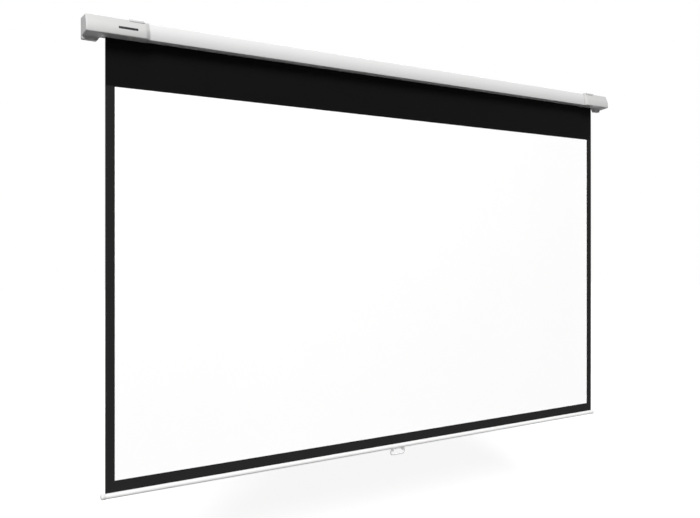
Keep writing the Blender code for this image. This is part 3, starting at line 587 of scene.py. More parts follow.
def loft(name, sections):
    """A closed body through (x, outline) sections that have the same number of points."""
    shape = bmesh.new()
    rings = [[shape.verts.new((x, y, z)) for y, z in outline] for x, outline in sections]
    for ring, following in zip(rings, rings[1:]):
        for i in range(len(ring)):
            shape.faces.new((ring[i - 1], ring[i], following[i], following[i - 1]))
    shape.faces.new(rings[0])
    shape.faces.new(rings[-1])
    return from_shape(name, shape)


def prism(name, outline, x_from, x_to):
    """An outline extruded along X."""
    return loft(name, [(x_from, outline), (x_to, outline)])


def box(name, low, high):
    """A box between two corners."""
    low, high = Vector(low), Vector(high)
    place = Matrix.Translation((low + high) / 2) @ Matrix.Diagonal((*(high - low), 1.0))
    shape = bmesh.new()
    bmesh.ops.create_cube(shape, size=1.0, matrix=place)
    return from_shape(name, shape)


def peg(name, radius, centre, depth, axis, sides=SMALL_SIDES):
    """A round bar about a point, along X, Y or Z."""
    turns = {
        "X": Matrix.Rotation(QUARTER, 4, "Y"),
        "Y": Matrix.Rotation(QUARTER, 4, "X"),
        "Z": Matrix.Identity(4),
    }
    shape = bmesh.new()
    bmesh.ops.create_cone(shape, cap_ends=True, segments=sides, radius1=radius, radius2=radius,
                          depth=depth, matrix=Matrix.Translation(centre) @ turns[axis])
    return from_shape(name, shape)


def screw_hole(place, wall):
    """A hole for a screw, straight up through a wall."""
    return peg("screw_hole", SCREW_RADIUS + GAP, place, 4 * wall, "Z")


def strip(name, path, x_from, x_to, thickness, side):
    """A sheet of metal along an open path, given its thickness by Solidify."""
    shape = bmesh.new()
    corners = [shape.verts.new((x_from, y, z)) for y, z in path]
    edges = [shape.edges.new(pair) for pair in zip(corners, corners[1:])]
    swept = bmesh.ops.extrude_edge_only(shape, edges=edges)
    ends = [item for item in swept["geom"] if isinstance(item, bmesh.types.BMVert)]
    bmesh.ops.translate(shape, verts=ends, vec=(x_to - x_from, 0.0, 0.0))
    obj = as_object(name, shape)
    wall = obj.modifiers.new("wall", "SOLIDIFY")
    wall.thickness = thickness
    wall.offset = side
    wall.use_even_offset = True
    return obj


def turned(name, profile, place, side):
    """A profile of (radius, along X) points turned about an X axis, to the left for a side of -1."""
    mesh = bpy.data.meshes.new(name)
    edges = [(i, i + 1) for i in range(len(profile) - 1)]
    mesh.from_pydata([(radius, 0.0, along) for radius, along in profile], edges, [])
    obj = link(name, mesh)
    obj.location = place
    obj.rotation_euler = (0.0, QUARTER * side, 0.0)
    screw = obj.modifiers.new("turn", "SCREW")
    screw.axis = "Z"
    screw.steps = ROUND_SIDES
    screw.render_steps = ROUND_SIDES
    screw.use_merge_vertices = True
    screw.merge_threshold = MERGE
    return obj


def broken_edges(obj, width, segments=2):
    """A small rounding along sharp edges."""
    bevel = obj.modifiers.new("broken_edges", "BEVEL")
    bevel.width = width
    bevel.segments = segments
    bevel.limit_method = "ANGLE"
    bevel.angle_limit = SHARP_EDGE
    bevel.use_clamp_overlap = True
    return obj


def combine(obj, operation, others):
    """A Boolean with each other object, which is used up when the piece is settled."""
    for other in others:
        step = obj.modifiers.new(operation.lower(), "BOOLEAN")
        step.operation = operation
        step.solver = "EXACT"
        step.object = other
    return obj


def cut(obj, *cutters):
    """Cut each cutter out of the object."""
    return combine(obj, "DIFFERENCE", cutters)


def fuse(obj, *others):
    """Join each other object to the object."""
    return combine(obj, "UNION", others)


def settled(obj):
    """The object with its modifiers and its place put into its mesh, and its cutters gone."""
    mesh = evaluated_mesh(obj)
    mesh.transform(obj.matrix_world)
    used = [step.object for step in obj.modifiers if step.type == "BOOLEAN"]
    shape = bmesh.new()
    shape.from_mesh(mesh)
    bmesh.ops.remove_doubles(shape, verts=shape.verts, dist=MERGE)
    bmesh.ops.dissolve_degenerate(shape, edges=shape.edges, dist=MERGE)
    bmesh.ops.recalc_face_normals(shape, faces=shape.faces)
    shape.to_mesh(mesh)
    shape.free()
    obj.modifiers.clear()
    obj.data = mesh
    obj.matrix_world = Matrix.Identity(4)
    for other in used:
        bpy.data.objects.remove(other)
    return obj


def fitted(obj, body, slot, finish, *nodes, sharp=35.0):
    """Finish a piece: its material, its shading, the body it rides on and the nodes it stands for."""
    obj.data.materials.clear()
    obj.data.materials.append(finish)
    obj.data.shade_smooth()
    obj.data.set_sharp_from_angle(angle=math.radians(sharp))
    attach(obj, body)
    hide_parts(*nodes)


# Case

def case_corners():
    """The case's outer outline without rounding, from its lower back corner."""
    front = arc_between((-CASE_TOP_DEPTH, HALF_HEIGHT), (-CASE_BOTTOM_DEPTH, -HALF_HEIGHT), CASE_BULGE)
    return [(0.0, -HALF_HEIGHT), (0.0, HALF_HEIGHT), *between_fillets(front, EDGE_REACH)]


def case_outline():
    """The outline of the case's wall, from one slot lip round to the other and back inside."""
    front = case_corners()[2:]
    outside = [
        (SLOT_BACK, -HALF_HEIGHT + SLOT_LIP),
        (SLOT_BACK, -HALF_HEIGHT),
        (0.0, -HALF_HEIGHT),
        (0.0, RECESS_BOTTOM),
        (-RECESS_DEPTH, RECESS_BOTTOM),
        (-RECESS_DEPTH, HALF_HEIGHT),
        *front,
        (SLOT_FRONT, -HALF_HEIGHT),
        (SLOT_FRONT, -HALF_HEIGHT + SLOT_LIP),
    ]
    slot_front = 6 + len(front)
    radii = {1: SLOT_RADIUS, 3: RECESS_RADIUS, 4: RECESS_RADIUS, slot_front: SLOT_RADIUS}
    radii.update(dict.fromkeys((2, 5, 6, slot_front - 1), EDGE_RADIUS))
    inner_radii = {corner: radius - CASE_WALL for corner, radius in radii.items()}
    inner_radii[4] = RECESS_RADIUS + CASE_WALL
    inside = offset_outline(outside, -CASE_WALL)
    inside[0] = (inside[0][0], outside[0][1])
    inside[-1] = (inside[-1][0], outside[-1][1])
    return rounded(outside, radii, closed=False) + rounded(inside, inner_radii, closed=False)[::-1]


def port_centres():
    """The three screw ports inside the case."""
    inset = CASE_WALL + PORT_OUTER - PORT_BITE
    return [
        (-RECESS_DEPTH - inset, HALF_HEIGHT - inset),
        (-CASE_TOP_DEPTH + PORT_SETBACK, HALF_HEIGHT - inset),
        (-CASE_BOTTOM_DEPTH + PORT_SETBACK, -HALF_HEIGHT + inset),
    ]


def port_outline(centre):
    """A screw port's C, open towards the roller."""
    facing = math.degrees(math.atan2(-centre[1], ROLLER_Y - centre[0]))
    start = facing + PORT_MOUTH / 2
    sweep = 360.0 - PORT_MOUTH
    outer = arc_points(centre, PORT_OUTER, SMALL_SIDES, start, sweep)
    inner = arc_points(centre, PORT_INNER, SMALL_SIDES, start + sweep, -sweep)
    return outer + inner


def make_case():
    """The case: a painted extrusion with a slot below and screw ports inside."""
    shell = prism("case", case_outline(), -CASE_HALF, CASE_HALF)
    for index, centre in enumerate(port_centres()):
        fuse(shell, prism(f"port_{index}", port_outline(centre), -CASE_HALF, CASE_HALF))
    cut(shell, *(cover_screw_hole(x) for x in COVER_SCREWS_X))
    fitted(settled(shell), "case", "painted_case", POWDER_CASE, "case_shell")


# End covers

def cover_corners(swell=1.0, drop=0.0):
    """A cover's outline: how far it stands out from the case's front, and how low its block hangs."""
    low = -HALF_HEIGHT - COVER_RISE
    high = HALF_HEIGHT + COVER_RISE
    top_front = (-CASE_TOP_DEPTH - COVER_RISE - swell * COVER_TOP_PROUD, high)
    middle_depth = (CASE_TOP_DEPTH + CASE_BOTTOM_DEPTH) / 2 + CASE_BULGE
    crease = (-middle_depth - COVER_RISE - swell * CREASE_PROUD, CREASE_HEIGHT)
    low_front = (-CASE_BOTTOM_DEPTH - COVER_RISE - swell * COVER_BOTTOM_PROUD, low)
    lower_face = between_fillets(arc_between(crease, low_front, COVER_BULGE), COVER_LOW_REACH)
    shelf_end = (-BLOCK_DEPTH - BLOCK_DRAFT, low - drop * BLOCK_SHELF_DROP)
    block_front = (-BLOCK_DEPTH, low - drop * BLOCK_DROP)
    low_back = (0.0, low - drop * BLOCK_DROP)
    return [low_back, (0.0, high), top_front, *lower_face, shelf_end, block_front]


def cover_outline(swell=1.0, drop=0.0, inset=0.0):
    """A cover's rounded outline, moved in by an inset."""
    corners = offset_outline(cover_corners(swell, drop), -inset)
    last = len(corners) - 1
    radii = {0: BLOCK_BACK_RADIUS, 1: EDGE_RADIUS, 2: EDGE_RADIUS, 3: CREASE_RADIUS}
    radii.update({last - 2: COVER_LOW_RADIUS, last: BLOCK_FRONT_RADIUS * drop})
    radii = {corner: max(radius - inset, GAP) for corner, radius in radii.items()}
    radii[last - 1] = max(BLOCK_HOLLOW_RADIUS * drop + inset, GAP)
    return rounded(corners, radii)


def eased(share):
    """A share from 0 to 1 that starts and stops a little more gently than in proportion."""
    return 0.5 * share + 0.5 * share * share * (3.0 - 2.0 * share)


def cover_sections(side, end, mouth_x, wall=0.0, inset=0.0):
    """Sections of a cover's skin, or of the room in it, from the mouth to the rounded outer end."""
    shares = [step / BLEND_STEPS for step in range(BLEND_STEPS + 1)]
    sections = []
    for share in shares:
        x = mouth_x + side * (wall + (MOUTH_LENGTH - wall) * share)
        sections.append((x, cover_outline(MOUTH_SWELL + (1.0 - MOUTH_SWELL) * eased(share), 0.0, inset)))
    for share in shares:
        x = side * (BLOCK_TOP_X + wall + BLOCK_SLOPE * share)
        sections.append((x, cover_outline(1.0, eased(share), inset)))
    radius = COVER_END_RADIUS - wall
    for step in range(FILLET_STEPS + 1):
        angle = QUARTER * step / FILLET_STEPS
        x = end - wall - radius * (1.0 - math.sin(angle))
        sections.append((side * x, cover_outline(1.0, 1.0, inset + radius * (1.0 - math.cos(angle)))))
    return sections


def cover_screw_hole(x):
    """A hole up through a cover's underside and the case."""
    place = (x, -CASE_BOTTOM_DEPTH + COVER_SCREW_SETBACK, -HALF_HEIGHT)
    return screw_hole(place, COVER_WALL + CASE_WALL)


def rib_outline():
    """A rib that fills the space between the cover's front and the case's front, clear of the case."""
    case_front = offset_outline(case_corners(), RIB_CLEARANCE)[2:]
    sunk = offset_outline(cover_corners(), -COVER_WALL / 2)[2:-2]
    over = (case_front[0][0], sunk[0][1])
    under = (case_front[-1][0], sunk[-1][1])
    radii = {1: EDGE_RADIUS - COVER_WALL / 2, len(sunk): COVER_LOW_RADIUS - COVER_WALL / 2}
    return [*rounded([over, *sunk, under], radii, closed=False), *reversed(case_front)]


def make_cover(name, side, end, mouth_x, *pads):
    """A ribbed, moulded sleeve round the case's end, with a softened mouth and a closed outer end."""
    outside = []
    for step in range(MOUTH_STEPS):
        angle = QUARTER * step / MOUTH_STEPS
        inset = MOUTH_LIP * (1.0 - math.sin(angle))
        x = mouth_x + side * MOUTH_LIP * (0.5 - math.cos(angle) / 2)
        outside.append((x, cover_outline(MOUTH_SWELL, 0.0, inset)))
    skin = cover_sections(side, end, mouth_x)
    skin[0] = (mouth_x + side * MOUTH_LIP, skin[0][1])
    cover = loft(name, outside + skin)

    before_mouth = mouth_x - side * COVER_END_RADIUS
    room = loft("room", cover_sections(side, end, mouth_x, COVER_WALL, COVER_WALL + GAP))
    round_case = offset_outline(case_corners(), GAP)
    cut(cover, room, prism("over_case", round_case, before_mouth, side * (PLATE_OUTER + GAP)))

    for x in (mouth_x + side * (MOUTH_LENGTH + RIB_INSET), side * (CASE_HALF - RIB_INSET)):
        fuse(cover, prism("rib", rib_outline(), x, x + side * RIB_THICKNESS))
    fuse(cover, *pads)

    low_x, high_x = sorted((before_mouth, side * CASE_HALF))
    slot_top = -HALF_HEIGHT + CASE_WALL
    slot = box("slot", (low_x, SLOT_FRONT - GAP, -2 * HALF_HEIGHT), (high_x, CASE_WALL, slot_top))
    recess = box("recess", (low_x, -RECESS_DEPTH, RECESS_BOTTOM), (high_x, CASE_WALL, 2 * HALF_HEIGHT))
    return cut(cover, slot, recess, cover_screw_hole(mouth_x + side * COVER_SCREW_INSET))


def strip_plate(name, grow, front, back):
    """A plate with the dark strip's outline, between two depths behind the cover's lower face."""
    half, high = STRIP_LENGTH / 2 + grow, STRIP_HEIGHT / 2 + grow
    corners = [(-half, -high), (half, -high), (half, high), (-half, high)]
    outline = rounded(corners, dict.fromkeys(range(4), STRIP_HEIGHT / 4))
    lean = math.radians(STRIP_LEAN)
    up = Vector((0.0, math.sin(lean), math.cos(lean)))
    inward = Vector((0.0, math.cos(lean), -math.sin(lean)))
    shape = bmesh.new()
    rings = []
    for depth in (front, back):
        middle = Vector(STRIP_PLACE) + inward * depth
        places = [middle + Vector((x, 0.0, 0.0)) + up * height for x, height in outline]
        rings.append([shape.verts.new(place) for place in places])
    for i in range(len(outline)):
        shape.faces.new((rings[0][i - 1], rings[0][i], rings[1][i], rings[1][i - 1]))
    shape.faces.new(rings[0])
    shape.faces.new(rings[1])
    return from_shape(name, shape)


def make_covers():
    """Both end covers and the dark strip let into the left one."""
    floor = STRIP_THICKNESS + GAP
    pad = strip_plate("strip_pad", STRIP_PAD, COVER_WALL / 2, floor + COVER_WALL)
    left = make_cover("left_cover", -1.0, LEFT_END, LEFT_COVER_X, pad)
    cut(left, strip_plate("strip_pocket", GAP, -COVER_WALL, floor))
    right = make_cover("right_cover", 1.0, RIGHT_END, RIGHT_COVER_X)
    for cover, node in ((left, "left_end_cover"), (right, "right_end_cover")):
        fitted(settled(cover), "case", "cover_plastic", COVER_PLASTIC, node, sharp=28.0)
    dark = broken_edges(strip_plate("dark_strip", 0.0, 0.0, STRIP_THICKNESS), STRIP_EDGE, segments=3)
    fitted(settled(dark), "case", "dark_strip", STRIP_GLOSS, "label_strip")


# Hangers

def hanger_path():
    """The hanger's middle line: up the recess in the back, over the cover, down its front."""
    half = HANGER_THICKNESS / 2
    middle = offset_outline(cover_corners(), GAP + half)
    top_front, crease = Vector(middle[2]), Vector(middle[3])
    hook_end = top_front + (crease - top_front).normalized() * HANGER_HOOK
    corners = [(-half, RECESS_BOTTOM + 2 * GAP), (-half, middle[1][1]), tuple(top_front), tuple(hook_end)]
    return rounded(corners, {1: HANGER_BEND, 2: HANGER_BEND}, closed=False)


def lip_outline():
    """What is coined off the front of the hanger's hook, so that it ends in a thin lip."""
    half = HANGER_THICKNESS / 2
    before, end = (Vector(spot) for spot in hanger_path()[-2:])
    along = (end - before).normalized()
    outward = Vector((-along.y, along.x)) if along.y > 0 else Vector((along.y, -along.x))
    shares = ((-HANGER_LIP, 1.0), (half, -HANGER_LIP_CUT), (half, 2.0), (-HANGER_LIP, 2.0))
    return [tuple(end + along * reach + outward * half * share) for reach, share in shares]


def make_hangers():
    """Two bent straps, each with a wall hole and a ceiling hole."""
    top_z = HALF_HEIGHT + COVER_RISE + GAP + HANGER_THICKNESS / 2
    leg_z = (RECESS_BOTTOM + HALF_HEIGHT) / 2
    depth = 3 * HANGER_THICKNESS
    for name, x in (("left_hanger", LEFT_HANGER_X), ("right_hanger", RIGHT_HANGER_X)):
        half = HANGER_WIDTH / 2
        strap = strip(f"{name}_strap", hanger_path(), x - half, x + half, HANGER_THICKNESS, 0.0)
        broken_edges(strap, HANGER_EDGE, segments=4)
        wall_place = (x, -HANGER_THICKNESS / 2, leg_z)
        wall_hole = peg("wall_hole", HANGER_HOLE, wall_place, depth, "Y", HOLE_SIDES)
        ceiling_hole = peg("ceiling_hole", HANGER_HOLE, (x, ROLLER_Y, top_z), depth, "Z", HOLE_SIDES)
        lip = prism("lip", lip_outline(), x - HANGER_WIDTH, x + HANGER_WIDTH)
        cut(strap, wall_hole, ceiling_hole, lip)
        fitted(settled(strap), "case", "painted_hanger", POWDER_HANGER, name)


# Things that repeat or follow a rule, as Geometry Nodes

class Rule(Wiring):
    """A Geometry Nodes tree being wired, with named inputs for its sizes."""

    def __init__(self, name):
        super().__init__(bpy.data.node_groups.new(name, "GeometryNodeTree"))
        self.tree.interface.new_socket("Geometry", in_out="INPUT", socket_type="NodeSocketGeometry")
        self.tree.interface.new_socket("Geometry", in_out="OUTPUT", socket_type="NodeSocketGeometry")
        self.given = self.tree.nodes.new("NodeGroupInput")

    def sizes(self, *names):
        """Add named inputs for numbers."""
        for name in names:
            self.tree.interface.new_socket(name, in_out="INPUT", socket_type="NodeSocketFloat")
        return [Line(self, self.given.outputs[name]) for name in names]

    def upright(self, height):
        """A vector that points up by this much."""
        return self.node("ShaderNodeCombineXYZ", {2: height})

    def moved(self, geometry, height):
        """Geometry lifted along Z."""
        inputs = {"Geometry": geometry, "Translation": self.upright(height)}
        return self.node("GeometryNodeTransform", inputs)

    def thickened(self, surface, thickness):
        """A surface given a thickness along its normals and closed all round."""
        inputs = {"Mesh": surface, "Offset Scale": thickness, "Individual": False}
        grown = self.node("GeometryNodeExtrudeMesh", inputs, mode="FACES")
        base = self.node("GeometryNodeFlipFaces", {"Mesh": surface})
        both = self.node("GeometryNodeJoinGeometry", {"Geometry": [base, grown]})
        return self.node("GeometryNodeMergeByDistance", {"Geometry": both, "Distance": MERGE})

    def spiral(self, steps, turns, start, end, height):
        """A spiral line about Z, with this many steps to a turn."""
        inputs = {"Resolution": steps, "Rotations": turns, "Height": height}
        inputs.update({"Start Radius": start, "End Radius": end})
        return self.node("GeometryNodeCurveSpiral", inputs)

    def boolean(self, operation, inputs):
        """A Boolean of whole meshes."""
        return self.node("GeometryNodeMeshBoolean", inputs, operation=operation, solver="EXACT")

    def done(self, geometry, finish):
        """End the tree: the result is realized and takes its finish."""
        whole = self.node("GeometryNodeRealizeInstances", {"Geometry": geometry})
        painted = self.node("GeometryNodeSetMaterial", {"Geometry": whole, "Material": finish})
        self.node("NodeGroupOutput", {"Geometry": painted})
        return self

    def run(self, name, start=None, **given):
        """A plain mesh object that the tree makes with these sizes."""
        obj = link(name, start or bpy.data.meshes.new(name))
        step = obj.modifiers.new(self.tree.name, "NODES")
        step.node_group = self.tree
        for socket in self.tree.interface.items_tree:
            if socket.in_out == "INPUT" and socket.name in given:
                step[socket.identifier] = given[socket.name]
        mesh = evaluated_mesh(obj)
        obj.modifiers.clear()
        obj.data = mesh
        return obj


# Proportions of a screw: lengths along the head are shares of its height, widths shares of its radius
HEAD_FALL = 0.55
HEAD_TOP = 0.4
HEAD_SIDES = 32
HEAD_SIDE_STEPS = 3
HEAD_RINGS = 6
SHANK_SIDES = 16
SHANK_BITE = 0.2
TIP_LENGTH = 1.2
TIP_TAPER = 0.6
RECESS_LENGTH = 1.15
RECESS_WIDTH = 0.24
RECESS_HEIGHT = 1.3
RECESS_MIDDLE = 1.2


def screw_rule():
    """Pan-head screws with a cross recess, one at each point, its head along the point's facing."""
    rule = Rule("pan_head_screws")
    radius, height, shank, length = rule.sizes("head_radius", "head_height", "shank_radius", "shank_length")
    sides = {"Vertices": HEAD_SIDES, "Side Segments": HEAD_SIDE_STEPS, "Fill Segments": HEAD_RINGS}
    sides.update({"Radius": radius, "Depth": height})
    disc = rule.node("GeometryNodeMeshCylinder", sides, "Mesh", fill_type="NGON")
    spot = rule.node("GeometryNodeInputPosition")
    out = (spot.part(0) * spot.part(0) + spot.part(1) * spot.part(1)) / (radius * radius)
    drop = height * HEAD_FALL * out * out * (spot.part(2) > height * HEAD_TOP)
    dome = rule.node("GeometryNodeSetPosition", {"Geometry": disc, "Offset": rule.upright(0 - drop)})
    head = rule.moved(dome, height * 0.5)

    sides = {"Vertices": SHANK_SIDES, "Radius": shank, "Depth": length}
    rod = rule.node("GeometryNodeMeshCylinder", sides, "Mesh", fill_type="NGON")
    low = (0 - spot.part(2) - length * 0.5 + shank * TIP_LENGTH) > 0.0
    inward = {0: spot, 1: (-TIP_TAPER, -TIP_TAPER, 0.0)}
    sideways = rule.node("ShaderNodeVectorMath", inward, operation="MULTIPLY")
    taper = rule.node("ShaderNodeVectorMath", {0: sideways, "Scale": low}, operation="SCALE")
    rod = rule.node("GeometryNodeSetPosition", {"Geometry": rod, "Offset": taper})
    rod = rule.moved(rod, length * -0.5 + height * SHANK_BITE)
    whole = rule.boolean("UNION", {"Mesh 2": [head, rod]})
    blades = []
    for wide, thin in ((RECESS_LENGTH, RECESS_WIDTH), (RECESS_WIDTH, RECESS_LENGTH)):
        spans = {0: radius * wide, 1: radius * thin, 2: height * RECESS_HEIGHT}
        blade = rule.node("GeometryNodeMeshCube", {"Size": rule.node("ShaderNodeCombineXYZ", spans)}, "Mesh")
        blades.append(rule.moved(blade, height * RECESS_MIDDLE))
    driven = rule.boolean("DIFFERENCE", {"Mesh 1": whole, "Mesh 2": blades})

    facing = rule.node("GeometryNodeInputNamedAttribute", {"Name": "facing"}, data_type="FLOAT_VECTOR")
    turn = rule.node("FunctionNodeAlignRotationToVector", {"Vector": facing}, axis="Z")
    points = rule.node("GeometryNodeMeshToPoints", {"Mesh": Line(rule, rule.given.outputs["Geometry"])})
    inputs = {"Points": points, "Instance": driven, "Rotation": turn}
    return rule.done(rule.node("GeometryNodeInstanceOnPoints", inputs), ZINC_PLATE)


def screws(name, rule, places, body, *nodes):
    """One piece with a screw at each (place, facing), standing for the CAD's screws."""
    points = bpy.data.meshes.new(name)
    points.from_pydata([place for place, facing in places], [], [])
    facings = points.attributes.new("facing", "FLOAT_VECTOR", "POINT")
    for item, (place, facing) in zip(facings.data, places):
        item.vector = facing
    made = rule.run(name, points, head_radius=SCREW_HEAD, head_height=SCREW_HEAD_HEIGHT,
                    shank_radius=SCREW_RADIUS, shank_length=SCREW_SHANK)
    fitted(made, body, "zinc", ZINC_PLATE, *nodes)


def make_screws():
    """The cover screws and plate screws on the case, and the bracket's on the bar."""
    rule = screw_rule()
    down = (0.0, 0.0, -1.0)
    under, behind = -HALF_HEIGHT - COVER_RISE - GAP, -CASE_BOTTOM_DEPTH + COVER_SCREW_SETBACK
    on_case = [((x, behind, under), down) for x in COVER_SCREWS_X]
    nodes = ["left_cover_screw", "right_cover_screw"]
    for name, side in (("left", -1.0), ("right", 1.0)):
        for index, (y, z) in enumerate(port_centres()):
            on_case.append(((side * (PLATE_OUTER + GAP), y, z), (side, 0.0, 0.0)))
            nodes.append(f"{name}_plate_screw_{index + 1}")
    screws("case_screws", rule, on_case, "case", *nodes)
    on_bar = [((x, SHEET_Y, BAR_Z - BRACKET_OUTER - GAP), down) for x in BRACKET_SCREWS_X]
    screws("bracket_screws", rule, on_bar, "bar", "bracket_screw_1", "bracket_screw_2")


def make_spring():
    """The torsion spring, close wound as a real one is, within the CAD spring's length."""
    rule = Rule("wound_spring")
    turns, pitch, coil, wire = rule.sizes("turns", "pitch", "coil_radius", "wire_radius")
    helix = rule.spiral(SPRING_STEPS, turns, coil, coil, turns * pitch)
    section = rule.node("GeometryNodeCurvePrimitiveCircle", {"Resolution": SPRING_WIRE_SIDES, "Radius": wire})
    inputs = {"Curve": helix, "Profile Curve": section, "Fill Caps": True}
    rule.done(rule.node("GeometryNodeCurveToMesh", inputs), SPRING_WIRE_STEEL)
    low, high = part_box("torsion_spring")
    length = high.x - low.x - 2 * SPRING_WIRE
    spring = rule.run("spring", turns=length / SPRING_PITCH, pitch=SPRING_PITCH, coil_radius=SPRING_RADIUS,
                      wire_radius=SPRING_WIRE)
    spring.data.transform(Matrix.Rotation(QUARTER, 4, "Y"))
    spring.data.transform(Matrix.Translation((low.x + SPRING_WIRE, ROLLER_Y, 0.0)))
    fitted(spring, "case", "spring_steel", SPRING_WIRE_STEEL, "torsion_spring")


def make_roll():
    """The turns of cloth that stay on the roller, as one thin spiral."""
    rule = Rule("rolled_cloth")
    names = ("turns", "start_radius", "end_radius", "width", "thickness")
    turns, start, end, width, thickness = rule.sizes(*names)
    line = rule.node("GeometryNodeCurveToMesh", {"Curve": rule.spiral(ROLL_STEPS, turns, start, end, 0.0)})
    inputs = {"Mesh": line, "Offset": rule.upright(1.0), "Offset Scale": width}
    sheet = rule.node("GeometryNodeExtrudeMesh", inputs, mode="EDGES")
    rule.done(rule.thickened(sheet, thickness), CLOTH_BACK)
    outer = ROLL_INNER + ROLL_TURNS * ROLL_LAYER
    roll = rule.run("rolled_cloth", turns=ROLL_TURNS, start_radius=ROLL_INNER, end_radius=outer,
                    width=2 * SHEET_HALF, thickness=ROLL_LAYER)
    roll.data.transform(Matrix.Rotation(QUARTER, 4, "Y"))
    roll.data.transform(Matrix.Translation((-SHEET_HALF, ROLLER_Y, 0.0)))
    fitted(settled(roll), "roller", "screen_cloth", CLOTH_BACK, "sheet_wraps")


# Sheet

# Ripples in radians to the metre, and how much the side edges curl against the ripples' height
LONG_RIPPLE = 5.3
LONG_RIPPLE_START = 0.7
SHORT_RIPPLE = 11.0
SHORT_RIPPLE_SLANT = 2.1
EDGE_CURL = 0.9
EDGE_CURL_POWER = 8.0
FACES_FRONT = -0.7


def make_sheet():
    """The hanging cloth: two faces and their edges, nearly flat, held down by the bar's weight."""
    rule = Rule("hanging_cloth")
    width, length, thickness, wave = rule.sizes("width", "length", "thickness", "wave_height")
    spans = {"Size X": width, "Size Y": length, "Vertices X": SHEET_COLUMNS, "Vertices Y": SHEET_ROWS}
    grid = rule.node("GeometryNodeMeshGrid", spans, "Mesh")
    spot = rule.node("GeometryNodeInputPosition")
    across, down = spot.part(0), length * 0.5 - spot.part(1)
    metres = rule.node("ShaderNodeCombineXYZ", {0: across + width * 0.5, 1: down})
    inputs = {"Geometry": grid, "Name": "UVMap", "Value": metres}
    grid = rule.node("GeometryNodeStoreNamedAttribute", inputs, data_type="FLOAT2", domain="CORNER")
    share = down / length
    hold = (share * math.pi).sine()
    curl = (across.size() * 2.0 / width) ** EDGE_CURL_POWER
    long = (across * LONG_RIPPLE + LONG_RIPPLE_START).sine() * 0.5
    short = (across * SHORT_RIPPLE - down * SHORT_RIPPLE_SLANT).sine() * 0.25
    lift = (long + short + curl * EDGE_CURL) * hold * wave
    bowed = rule.node("GeometryNodeSetPosition", {"Geometry": grid, "Offset": rule.upright(lift)})
    rule.done(rule.thickened(bowed, thickness), CLOTH_BACK)
    sheet = rule.run("cloth", width=2 * SHEET_HALF, length=-SHEET_BOTTOM, thickness=SHEET_THICKNESS,
                     wave_height=WAVE_HEIGHT)
    sheet.data.transform(Matrix.Rotation(QUARTER, 4, "X"))
    sheet.data.transform(Matrix.Translation((0.0, SHEET_Y + SHEET_THICKNESS / 2, SHEET_BOTTOM / 2)))
    sheet.data.materials.clear()
    for finish in (CLOTH_BACK, CLOTH_FRONT):
        sheet.data.materials.append(finish)
    for face in sheet.data.polygons:
        face.material_index = 1 if face.normal.y < FACES_FRONT else 0
    sheet.data.shade_smooth()
    sheet.data.set_sharp_from_angle(angle=math.radians(60.0))
    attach(sheet, "case")
    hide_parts("screen_sheet")
    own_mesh(sheet)


# Bottom bar and handle

def make_bar():
    """The slotted tube across the sheet's foot and its two domed caps."""
    half_mouth = math.degrees(math.asin(BAR_SLOT / 2 / BAR_RADIUS))
    path = arc_points((SHEET_Y, BAR_Z), BAR_RADIUS, ROUND_SIDES, 90.0 + half_mouth, 360.0 - 2 * half_mouth)
    tube = strip("bottom_bar", path, -BAR_HALF, BAR_HALF, BAR_WALL, 1.0)
    cut(tube, *(screw_hole((x, SHEET_Y, BAR_Z - BAR_RADIUS), BAR_WALL) for x in BRACKET_SCREWS_X))
    fitted(settled(tube), "bar", "painted_bar", POWDER_BAR, "bar_tube")

    mouth, floor = SHEET_HALF + GAP, BAR_HALF + GAP
    shoulder = BAR_HALF + CAP_REACH - CAP_DOME
    dome = arc_points((0.0, 0.0), 1.0, 2 * FILLET_STEPS, 90.0, -90.0)
    outer = [(CAP_RADIUS * reach, shoulder + CAP_DOME * height) for reach, height in dome]
    lip = [(CAP_RADIUS - CAP_LIP * inset, mouth + CAP_LIP * rise)
           for inset, rise in ((0.0, 1.0), (CAP_LIP_INSET, CAP_LIP_INSET), (1.0, 0.0))]
    spigot = BAR_RADIUS - BAR_WALL - GAP
    groove = BAR_RADIUS + GAP
    inner = [(groove, mouth), (groove, floor), (spigot, floor), (spigot, mouth + GAP), (0.0, mouth + GAP)]
    for name, side in (("left_bar_cap", -1.0), ("right_bar_cap", 1.0)):
        cap = turned(f"{name}_dome", outer + lip + inner, (0.0, SHEET_Y, BAR_Z), side)
        fitted(settled(cap), "bar", "cover_plastic", CAP_PLASTIC, name)


